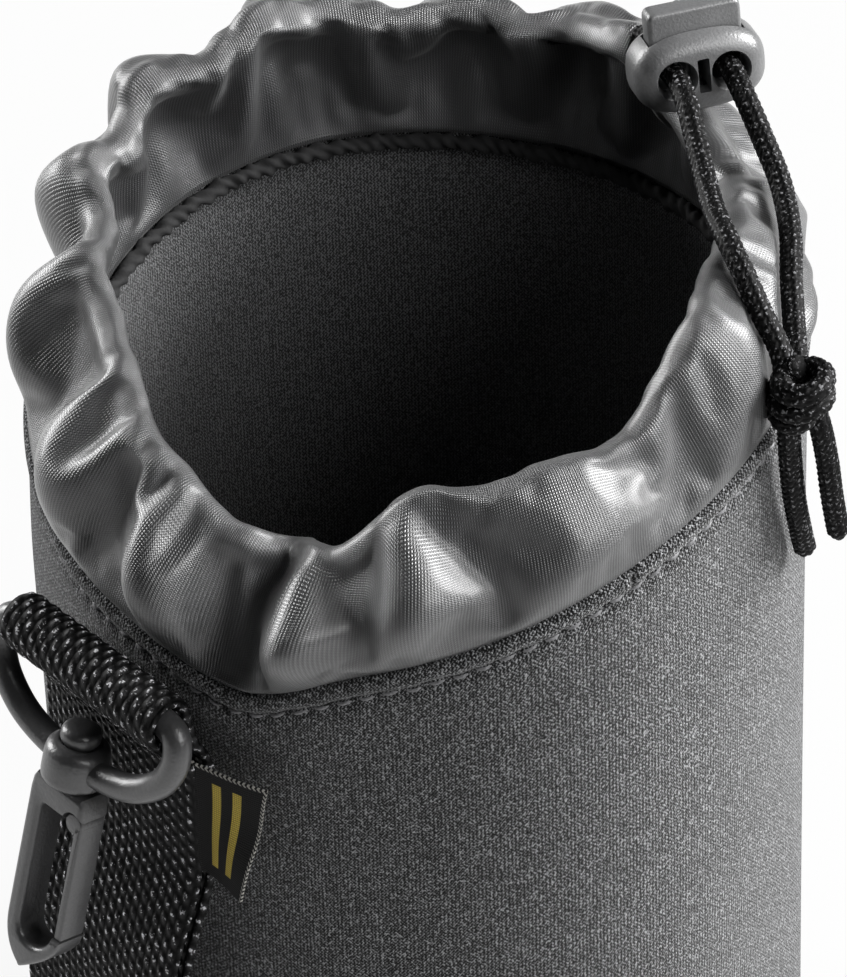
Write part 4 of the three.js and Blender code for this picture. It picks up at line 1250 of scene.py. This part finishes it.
def knot_path():
    """An overhand knot drawn tight: two and a half turns that climb and lean, with both ends tucked in."""
    t = np.linspace(0.0, 1.0, 220)
    turn = 360.0 * KNOT_TURNS * t + 150.0
    reach = 3.55 - 2.2 * np.abs(2 * t - 1) ** 6
    x = reach * cosine(turn)
    y = reach * sine(turn)
    z = 4.0 - 8.0 * t + 1.1 * cosine(turn - 60.0)
    return np.stack([x, y, z], axis=1) + from_rim(KNOT_CENTRE)


class POUCH_OT_drawcord(bpy.types.Operator):
    """Lays the drawcord through the hem and the lock to its knot and tails"""

    bl_idname = "pouch.drawcord"
    bl_label = "Drawcord"

    def execute(self, context):
        sizes = context.scene.pouch_sizes
        finish = cord_finish(context.scene.pouch_colours)
        diameter = sizes.cord_diameter
        radius = diameter / MM / 2
        pitch = sizes.braid_pitch / MM

        hem_path = hem_line(HEM_BRAID_STEP)
        hem = make_piece(
            "drawcord_in_hem", braid(hem_path, radius, pitch), finish, "pouch", ["drawcord_hem_run"],
        )

        tuck = np.linspace(WINDOW_ANGLE + TUCK_SPAN[0], WINDOW_ANGLE + TUCK_SPAN[1], 6)
        hem_r, hem_z = folded_hem(tuck)
        tucked = around(hem_r, tuck, hem_z)
        feed_a = smooth_route(np.vstack([tucked, from_rim(FEED_A_ROUTE)[1:]]), BRAID_STEP)
        feed_b = smooth_route(from_rim(FEED_B_ROUTE), BRAID_STEP)
        runs = {
            "a": (feed_a, RUN_A_ROUTE, TAIL_A_ROUTE, FEED_A_BLEND),
            "b": (feed_b, RUN_B_ROUTE, TAIL_B_ROUTE, FEED_B_BLEND),
        }
        knot = make_piece(
            "cord_overhand_knot", braid(knot_path(), radius, pitch), finish, "pouch", ["cord_knot"],
        )
        for letter, (feed, run_route, tail_route, blend) in runs.items():
            made = make_piece(
                f"cord_to_lock_{letter}", braid(feed, radius, pitch), finish, None, [f"cord_feed_{letter}"],
            )
            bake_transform(made)
            route = np.vstack([from_rim(run_route), from_rim(tail_route)])
            path = smooth_route(route, BRAID_STEP)
            made = make_piece(
                f"cord_from_lock_{letter}", braid(path, radius, pitch, taper=TAIL_TAPER), finish, None,
                [f"cord_run_{letter}", f"cord_tail_{letter}"],
            )
            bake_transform(made)
        return {"FINISHED"}


# The cord lock


def about_x(degrees):
    """The matrix that turns points about X."""
    c, s = math.cos(math.radians(degrees)), math.sin(math.radians(degrees))
    return np.array(((1, 0, 0), (0, c, -s), (0, s, c)))


def about_z(degrees):
    """The matrix that turns points about Z."""
    c, s = math.cos(math.radians(degrees)), math.sin(math.radians(degrees))
    return np.array(((c, -s, 0), (s, c, 0), (0, 0, 1)))


def lock_frame(points):
    """Points of the lock's own frame, turned to its tilt and heading and set in its place."""
    return points @ (about_z(LOCK_HEADING) @ about_x(-LOCK_TILT)).T + from_rim(LOCK_CENTRE)


def oval(half_width, half_height, count):
    """A flattened oval: both coordinates are cosines and sines to the power 2 over the squareness."""
    turn = once_round(count)
    power = 2.0 / LOCK_SQUARENESS
    x = np.sign(cosine(turn)) * np.abs(cosine(turn)) ** power
    z = np.sign(sine(turn)) * np.abs(sine(turn)) ** power
    return np.stack([half_width * x, half_height * z], axis=1)


def box_outline(left, right, bottom, top, corner):
    """A rectangle with bent corners."""
    return rounded_corners(((left, bottom), (right, bottom), (right, top), (left, top)), corner)


def flared_hole(x):
    """A round cutter along Y that opens out at both faces of the lock."""
    half = LOCK_DEPTH / 2
    level = np.array((-2.0, -1.12, -1.0, -0.94, -0.86, -0.7, 0.7, 0.86, 0.94, 1.0, 1.12, 2.0)) * half
    widen = np.array((1.5, 1.5, 0.9, 0.5, 0.18, 0.0, 0.0, 0.18, 0.5, 0.9, 1.5, 1.5)) * 0.55
    ring = circle(1.0, 40)
    reach = HOLE_DIAMETER / 2 + widen
    points = np.stack([
        x + reach[:, None] * ring[None, :, 0],
        np.broadcast_to(level[:, None], (len(level), len(ring))),
        reach[:, None] * ring[None, :, 1],
    ], axis=-1)
    return solid(lock_frame(points))


def cutter(outline, depth, shift=0.0):
    """A sharp-edged block of an outline, in the lock's frame."""
    return solid(lock_frame(plate(outline, depth, 0.1, 2) - np.array((0.0, shift, 0.0))))


class POUCH_OT_cord_lock(bpy.types.Operator):
    """Makes the two-hole cord lock with its sprung button"""

    bl_idname = "pouch.cord_lock"
    bl_label = "Cord Lock"

    def execute(self, context):
        colours = context.scene.pouch_colours
        finish = plastic_finish("lock_moulding", colours.lock, 0.30, 2600.0, 1.0)
        shell = plate(oval(LOCK_WIDTH / 2, LOCK_HEIGHT / 2, 96), LOCK_DEPTH, LOCK_ROUND, 9)
        body = make_piece(
            "lock_barrel", solid(lock_frame(shell)), finish, "lock", ["lock_body"],
        )
        pocket = BUTTON_WIDTH / 2 + CLEARANCE
        slot = box_outline(-SLOT_WIDTH / 2, SLOT_WIDTH / 2, -SLOT_HEIGHT / 2, SLOT_HEIGHT / 2, 0.3)
        room = box_outline(-pocket, pocket, POCKET_FLOOR, LOCK_HEIGHT, 0.8)
        cut_away(body, [
            flared_hole(-HOLE_SPACING / 2),
            flared_hole(HOLE_SPACING / 2),
            cutter(slot, LOCK_DEPTH, LOCK_DEPTH / 2),
            cutter(room, BUTTON_DEPTH + 2 * CLEARANCE),
        ])

        top = LOCK_HEIGHT / 2 + BUTTON_PROUD
        cap = plate(box_outline(-BUTTON_WIDTH / 2, BUTTON_WIDTH / 2, BUTTON_FOOT, top, 1.4), BUTTON_DEPTH, 0.7, 6)
        button = make_piece(
            "lock_push_button", solid(lock_frame(cap)), finish, "button", ["lock_button"],
        )
        low, high = BUTTON_WINDOW
        windows = (
            box_outline(-CORD_WINDOW[1], -CORD_WINDOW[0], low, high, 0.2),
            box_outline(*CORD_WINDOW, low, high, 0.2),
            box_outline(-SPRING_ROOM, SPRING_ROOM, POCKET_FLOOR, high, 0.2),
        )
        cut_away(button, [cutter(window, 2 * BUTTON_DEPTH) for window in windows])

        # The spring is a helix: it turns and climbs evenly along its span
        t = np.linspace(0.0, 1.0, SPRING_TURNS * 20)
        turn = 360.0 * SPRING_TURNS * t
        level = SPRING_SPAN[0] + SPRING_WIRE + (SPRING_SPAN[1] - SPRING_SPAN[0] - 2 * SPRING_WIRE) * t
        coil = np.stack([SPRING_RADIUS * cosine(turn), SPRING_RADIUS * sine(turn), level], axis=1)
        wire = solid(lock_frame(sweep(coil, circle(SPRING_WIRE / 2, 8))))
        spring = make_piece("lock_coil_spring", wire, steel_finish(), None, ["lock_spring"])
        ends = lock_frame(np.array(((0.0, 0.0, SPRING_SPAN[0]), (0.0, 0.0, SPRING_SPAN[1])))) * MM
        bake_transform(spring)
        return {"FINISHED"}


# The belt strap and its label


def strap_line():
    """Middle line of the webbing as distance from the tube and height: up the inner layer, round the loop's bar
    on a circle, and down the outer layer; both layers bow out to let a belt through."""
    height = np.linspace(STRAP_BOTTOM, UPPER_TACK_TOP, 120)
    bow = BELT_GAP * (smooth_step(height, *BELT_RISE) - smooth_step(height, *BELT_FALL))
    inner = np.stack([INNER_LAYER + bow, height], axis=1)
    outer = inner[::-1] + np.array((LAYER_STEP, 0.0))
    turn = np.linspace(*FOLD_TURN, 60)
    fold = np.stack([BAR_STANDOFF + FOLD_RADIUS * cosine(turn), BAR_HEIGHT + FOLD_RADIUS * sine(turn)], axis=1)
    pinch = INNER_LAYER + LAYER_STEP + PINCH_SHARE * (BAR_STANDOFF - FOLD_RADIUS - INNER_LAYER)
    bend = np.array(((pinch + 0.6, UPPER_TACK_TOP + PINCH_SHARE * (BAR_HEIGHT - UPPER_TACK_TOP)),))
    line = even_steps(np.vstack([inner, fold, bend, outer]), STRAP_STEP)
    soft = np.ones(2 * STRAP_EASE + 1) / (2 * STRAP_EASE + 1)
    ends = np.pad(line, ((STRAP_EASE, STRAP_EASE), (0, 0)), mode="edge")
    return np.stack([np.convolve(ends[:, axis], soft, "valid") for axis in range(2)], axis=1)


def strap_grid():
    """The webbing: a flat section with soft edges carried along the line, with raised yarns: long warp floats
    that pass over and under in a broken twill."""
    line = strap_line()
    along = np.gradient(line, axis=0)
    along /= np.linalg.norm(along, axis=1, keepdims=True)
    across = np.stack([along[:, 1], -along[:, 0]], axis=1)
    half, thick = WEBBING_WIDTH / 2, WEBBING_THICKNESS / 2
    edge = np.linspace(-1.0, 1.0, STRAP_POINTS)
    side = np.concatenate([edge * half, edge[::-1] * half])
    round_edge = np.sqrt(np.clip((half - np.abs(side)) / 0.8, 0.0, 1.0)) * 0.75 + 0.25
    face = np.repeat((1.0, -1.0), STRAP_POINTS)
    reach = distance_along(line)[:, None]
    girth = np.concatenate([edge * half + half, WEBBING_WIDTH * 2 - (edge[::-1] * half + half)])
    yarn = girth[None] / YARN_WIDTH
    lane = np.floor(yarn)
    part = yarn - lane
    over = 0.5 + 0.5 * np.sin(TAU * (reach / FLOAT_LENGTH + 0.5 * lane + 0.3 * part))
    crown = 4.0 * part * (1.0 - part) * (0.2 + 0.8 * over)
    height = thick * round_edge * (0.66 + 0.42 * crown)
    offset = (height * face)[..., None] * across[:, None]
    flat = line[:, None] + offset
    rise, fall, bar = (smooth_step(line[:, 1], *span) for span in HUG_SPANS)
    follow = HUG_SHARE * (1.0 - rise + fall) * (1.0 - bar)
    hug = follow[:, None] * (BODY_RADIUS - np.sqrt(BODY_RADIUS**2 - side**2))[None]
    points = np.stack([
        np.broadcast_to(side, flat.shape[:2]), -BODY_RADIUS - flat[..., 0] + hug, flat[..., 1],
    ], axis=-1)
    map_v = np.append(girth, WEBBING_WIDTH * 2)[None]
    uv = np.stack(np.broadcast_arrays(reach, map_v), axis=-1)
    return Grid(points, False, True, uv=uv, caps=True)


class POUCH_OT_belt_strap(bpy.types.Operator):
    """Lays the doubled webbing strap with its fold round the loop's bar"""

    bl_idname = "pouch.belt_strap"
    bl_label = "Belt Strap"

    def execute(self, context):
        finish = webbing_finish(context.scene.pouch_colours)
        make_piece("webbing_strap", strap_grid(), finish, "pouch", ["belt_strap"])
        return {"FINISHED"}


def label_grid():
    """The label: a sheet that leaves the strap's edge, droops toward the tube by a power of the distance out, and
    curls in two waves, with its lower corner turned away."""
    full = LABEL_TUCK + LABEL_REACH
    u = np.linspace(0.0, full, 60)[:, None]
    v = np.linspace(0.0, LABEL_HEIGHT, 80)[None]
    out = np.clip((u - LABEL_TUCK) / LABEL_REACH, 0.0, 1.0)
    curl = 0.5 * out * sine(v / LABEL_HEIGHT * 180.0 - 30.0) + 0.25 * out * sine(v * 24.0 + u * 9.0)
    low = 1.0 - v / LABEL_HEIGHT
    x = WEBBING_WIDTH / 2 - LABEL_TUCK + u - 0.5 * out**2 - 2.6 * out * low
    y = -BODY_RADIUS - LABEL_LIFT + 1.4 * out**0.5 + LABEL_DROOP * out**1.6 + curl - 4.0 * out**1.5 * low
    z = LABEL_CENTRE - LABEL_HEIGHT / 2 + v - 0.6 * out + 0 * u
    return Grid(np.stack([x, y, z], axis=-1), uv=np.stack(np.broadcast_arrays(u, v), axis=-1))


class POUCH_OT_side_label(bpy.types.Operator):
    """Sews the woven label into the strap's edge"""

    bl_idname = "pouch.side_label"
    bl_label = "Side Label"

    def execute(self, context):
        finish = label_finish(context.scene.pouch_colours)
        made = make_piece("woven_label", label_grid(), finish, "pouch", ["side_label"])
        thicken(made, LABEL_THICKNESS * MM)
        return {"FINISHED"}


# The swivel snap hook


def hung(points):
    """Points of the hook's own frame, which hangs from the bar at a tilt."""
    return points @ about_x(-LOOP_TILT).T + np.array((0.0, -BODY_RADIUS - BAR_STANDOFF, BAR_HEIGHT))


def bezier(*corners, steps=14):
    """A quadratic curve between its first and last corner."""
    first, middle, last = (np.array(corner, float) for corner in corners)
    t = np.linspace(0.0, 1.0, steps)[:, None]
    return (1 - t) ** 2 * first + 2 * t * (1 - t) * middle + t**2 * last


def loop_grids():
    """The loop: a round bar and arms along a D-shaped path, the same at the right and the left, and the swivel boss
    turned about the hook's axis."""
    low = -LOOP_DROP
    right = np.array((
        (ARM_X - 6, 0, 0), (ARM_X - 1.2, 0, -0.9), (ARM_X, 0, -4.5), (ARM_X - 1.6, 0, -9.5),
        (ARM_X - 6.5, 0, low + 2.6), (7, 0, low + 0.5),
    ))
    left = right[::-1] * np.array((-1, 1, 1))
    ring = np.vstack([[(0, 0, 0)], right, [(0, 0, low)], left])
    path = smooth_route(ring, 0.7, closed=True)[:-1]
    arm = Grid(hung(sweep(path, circle(ARM_RADIUS, 28), closed=True)), True, True)
    top, bottom = low + BOSS_HEIGHT / 2, low - BOSS_HEIGHT / 2
    profile = [
        (BOSS_HOLE, bottom + 0.3), (BOSS_HOLE + 0.3, bottom), (BOSS_RADIUS - 1.3, bottom),
        (BOSS_RADIUS - 0.5, bottom + 0.25), (BOSS_RADIUS - 0.1, bottom + 0.8), (BOSS_RADIUS, bottom + 1.6),
        (BOSS_RADIUS, low), (BOSS_RADIUS - 0.05, top - 1.8), (BOSS_RADIUS - 0.3, top - 0.9),
        (BOSS_RADIUS - 0.9, top - 0.3), (BOSS_RADIUS - 1.7, top), (BOSS_HOLE + 0.3, top), (BOSS_HOLE, top - 0.3),
    ]
    return [arm, Grid(hung(lathe(profile, 64)), True, True)]


def hook_outline():
    """The hook seen from the front: shoulder, spine, bow and nose, in straight lines and quadratic curves."""
    inside = -HOOK_HALF + HOOK_SPINE
    bow = HOOK_TIP + 5.0
    return np.vstack([
        [(-HOOK_HALF + 0.9, HOOK_TOP), (-HOOK_HALF + 0.2, HOOK_TOP - 1.2), (-HOOK_HALF, HOOK_TOP - 3.0)],
        np.stack([np.full(12, -HOOK_HALF), np.linspace(HOOK_TOP - 5.0, NOSE_TOP + 1.0, 12)], axis=1),
        bezier((-HOOK_HALF, NOSE_TOP), (-HOOK_HALF, HOOK_TIP + 2.5), (-HOOK_SPINE / 2, HOOK_TIP)),
        bezier((-HOOK_SPINE / 2, HOOK_TIP), (HOOK_HALF, bow), (HOOK_HALF, NOSE_TOP))[1:],
        [(HOOK_HALF - GATE_THICKNESS - CLEARANCE, NOSE_TOP)],
        bezier((HOOK_HALF - GATE_THICKNESS - CLEARANCE, NOSE_TOP), (HOOK_SPINE, bow), (0.0, bow))[1:],
        bezier((0.0, bow), (inside, bow), (inside, NOSE_TOP))[1:],
        np.stack([np.full(10, inside), np.linspace(NOSE_TOP + 2.0, EYE_TOP - 1.2, 10)], axis=1),
        bezier((inside, EYE_TOP - 1.2), (inside, EYE_TOP), (inside + 1.2, EYE_TOP), steps=5)[1:],
        [(2.0, EYE_TOP), (HOOK_HALF, EYE_TOP), (HOOK_HALF, HOOK_TOP - 3.0)],
        [(HOOK_HALF - 0.2, HOOK_TOP - 1.2), (HOOK_HALF - 0.9, HOOK_TOP)],
    ])


def disc_outline(x, z, radius):
    """A circle round a point."""
    return circle(radius, 32) + np.array((x, z))


class POUCH_OT_snap_hook(bpy.types.Operator):
    """Hangs the swivel snap hook from the strap's fold"""

    bl_idname = "pouch.snap_hook"
    bl_label = "Snap Hook"

    def execute(self, context):
        finish = plastic_finish("hook_moulding", context.scene.pouch_colours.hook, 0.26, 2000.0, 0.9)
        make_piece("hook_d_loop", loop_grids(), finish, "loop", ["hook_loop"], SHARP_MOULD)
        knuckle_x = HOOK_HALF - KNUCKLE_RADIUS
        shape = plate(hook_outline(), HOOK_DEPTH, 0.9, 5)
        hook = make_piece("hook_swivel", solid(hung(shape)), finish, "hook", ["snap_hook"])
        socket = plate(disc_outline(knuckle_x, EYE_TOP, KNUCKLE_RADIUS + CLEARANCE), 2 * HOOK_DEPTH, 0.1, 2)
        cut_away(hook, [solid(hung(socket))])
        foot, head = EYE_TOP + 1.0, -LOOP_DROP + BOSS_HEIGHT / 2 + CLEARANCE
        post = [
            (0.05, foot), (POST_RADIUS, foot), (POST_RADIUS, head), (RIVET_RADIUS - 0.2, head),
            (RIVET_RADIUS, head + 0.5), (RIVET_RADIUS, head + 1.4), (RIVET_RADIUS - 0.3, head + 2.1),
            (RIVET_RADIUS - 1.1, head + 2.5), (1.0, head + 2.6), (0.05, head + 2.6),
        ]
        turned = Grid(hung(lathe(post, 40)), True, True)
        make_piece("hook_post", turned, finish, "hook", sharp=SHARP_MOULD)
        gate_x = HOOK_HALF - GATE_THICKNESS / 2
        half = GATE_THICKNESS / 2
        bar = box_outline(gate_x - half, gate_x + half, NOSE_TOP + CLEARANCE, EYE_TOP, 0.35)
        knuckle = disc_outline(knuckle_x, EYE_TOP, KNUCKLE_RADIUS)
        grids = [solid(hung(plate(outline, GATE_DEPTH, 0.35, 4))) for outline in (bar, knuckle)]
        make_piece("hook_gate_bar", grids, finish, "gate", ["hook_gate"], SHARP_MOULD)
        return {"FINISHED"}


# The stage


def area_lamp(name, place, target, power):
    """A square soft light that faces a point."""
    data = bpy.data.lights.new(name, "AREA")
    data.shape = "SQUARE"
    data.size = LAMP_SIZE
    data.energy = power
    lamp = bpy.data.objects.new(name, data)
    turn_to(lamp, place, target - place)
    bpy.context.scene.collection.objects.link(lamp)


def turn_to(made, place, look, roll=0.0):
    """Sets an object that looks along its own -Z at a place, turned about that line."""
    made.location = Vector(place)
    facing = Vector(look).normalized()
    made.rotation_mode = "QUATERNION"
    made.rotation_quaternion = facing.to_track_quat("-Z", "Y") @ Quaternion((0.0, 0.0, 1.0), roll)


def bright_to_camera(f, plain, share):
    """Mixes a shader with plain white for rays that come straight from the camera, or by way of gloss or glass."""
    path = f.tree.nodes.new("ShaderNodeLightPath")
    rays = [Value(f, path.outputs[name]) for name in ("Is Camera Ray", "Is Glossy Ray", "Is Transmission Ray")]
    seen = f.maths("MINIMUM", rays[0] + rays[1] + rays[2], 1.0)
    white = f.tree.nodes.new("ShaderNodeEmission")
    mix = f.tree.nodes.new("ShaderNodeMixShader")
    f.feed(mix.inputs[0], seen * share)
    f.tree.links.new(plain, mix.inputs[1])
    f.tree.links.new(white.outputs[0], mix.inputs[2])
    f.tree.links.new(mix.outputs[0], f.tree.nodes["Material Output"].inputs[0])


class POUCH_OT_stage(bpy.types.Operator):
    """Sets the camera, the studio lights and the pale floor"""

    bl_idname = "pouch.stage"
    bl_label = "Stage"

    def execute(self, context):
        scene = context.scene
        stage = scene.pouch_stage
        scene.view_settings.view_transform = "Standard"
        ground = np.array((math.sin(stage.azimuth), -math.cos(stage.azimuth), 0.0))
        right = np.array((math.cos(stage.azimuth), math.sin(stage.azimuth), 0.0))
        up = np.array((0.0, 0.0, 1.0))
        back = ground * math.cos(stage.elevation) + up * math.sin(stage.elevation)
        mouth = np.array((0.0, 0.0, BODY_HEIGHT * MM))
        place = mouth + back * stage.distance
        upright = np.cross(back, right)
        seen_right = math.cos(stage.roll) * right - math.sin(stage.roll) * upright
        seen_up = math.sin(stage.roll) * right + math.cos(stage.roll) * upright
        middle = mouth + AIM_RIGHT * MM * seen_right - AIM_DOWN * MM * seen_up
        data = bpy.data.cameras.new("camera")
        data.lens = stage.lens
        camera = bpy.data.objects.new("camera", data)
        turn_to(camera, place, middle - place, -stage.roll)
        scene.collection.objects.link(camera)
        scene.camera = camera

        target = up * LAMP_TARGET
        lamps = (
            ("right_light", KEY_PLACE, stage.key), ("top_light", TOP_PLACE, stage.top),
            ("left_light", EDGE_PLACE, stage.edge),
        )
        for name, (aside, near, above), power in lamps:
            area_lamp(name, target + right * aside + ground * near + up * above, target, power)

        world = bpy.data.worlds.new("studio")
        scene.world = world
        world.use_nodes = True
        tree = world.node_tree
        path = tree.nodes.new("ShaderNodeLightPath")
        either = tree.nodes.new("ShaderNodeMath")
        either.operation = "MAXIMUM"
        tree.links.new(path.outputs["Is Camera Ray"], either.inputs[0])
        tree.links.new(path.outputs["Is Transmission Ray"], either.inputs[1])
        strength = tree.nodes.new("ShaderNodeMapRange")
        strength.inputs["To Min"].default_value = WORLD_FILL
        strength.inputs["To Max"].default_value = 1.0
        tree.links.new(either.outputs[0], strength.inputs[0])
        ground_light = tree.nodes["Background"]
        ground_light.inputs[0].default_value = (1.0, 1.0, 1.0, 1.0)
        tree.links.new(strength.outputs[0], ground_light.inputs[1])

        f = Finish("studio_floor", specular_ior_level=0.1, roughness=0.9)
        pale = scene.pouch_colours.floor
        f.finish(f.mix(f.noise(3.0, 2.0), shade(pale, 0.98), pale))
        bright_to_camera(f, f.shader.outputs[0], FLOOR_WHITE)
        side = np.linspace(-FLOOR_HALF, FLOOR_HALF, 3)
        x, y = np.meshgrid(side, side, indexing="ij")
        flat = Grid(np.stack([x, y, np.full_like(x, -FLOOR_DROP)], axis=-1))
        make_piece("studio_floor", flat, f.material)
        return {"FINISHED"}


OPERATORS = (
    POUCH_OT_stage,
    POUCH_OT_drawcord,
    POUCH_OT_neoprene,
    POUCH_OT_seams,
    POUCH_OT_collar,
    POUCH_OT_cord_lock,
    POUCH_OT_belt_strap,
    POUCH_OT_side_label,
    POUCH_OT_snap_hook,
)


class VIEW3D_PT_pouch(bpy.types.Panel):
    """Lists the pouch's pieces and settings"""

    bl_label = "Lens Pouch"
    bl_space_type = "VIEW_3D"
    bl_region_type = "UI"
    bl_category = "Pouch"

    def draw(self, context):
        layout = self.layout
        for group in (context.scene.pouch_sizes, context.scene.pouch_colours, context.scene.pouch_stage):
            for name in group.__annotations__:
                layout.prop(group, name)
        for operator in OPERATORS:
            layout.operator(operator.bl_idname)


SETTINGS = {"pouch_sizes": PouchSizes, "pouch_colours": PouchColours, "pouch_stage": PouchStage}
CLASSES = (*SETTINGS.values(), *OPERATORS, VIEW3D_PT_pouch)


def register():
    """Adds the settings, operators and panel to Blender."""
    for each in CLASSES:
        bpy.utils.register_class(each)
    for name, each in SETTINGS.items():
        setattr(bpy.types.Scene, name, PointerProperty(type=each))


def unregister():
    """Takes them out again."""
    for name in SETTINGS:
        delattr(bpy.types.Scene, name)
    for each in reversed(CLASSES):
        bpy.utils.unregister_class(each)


def main():
    """Builds the stage and the pieces in order."""
    register()
    bpy.ops.pouch.stage()
    bpy.ops.pouch.drawcord()
    bpy.ops.pouch.neoprene()
    bpy.ops.pouch.seams()
    bpy.ops.pouch.collar()
    bpy.ops.pouch.cord_lock()
    bpy.ops.pouch.belt_strap()
    bpy.ops.pouch.side_label()
    bpy.ops.pouch.snap_hook()


if __name__ == "__main__":
    main()
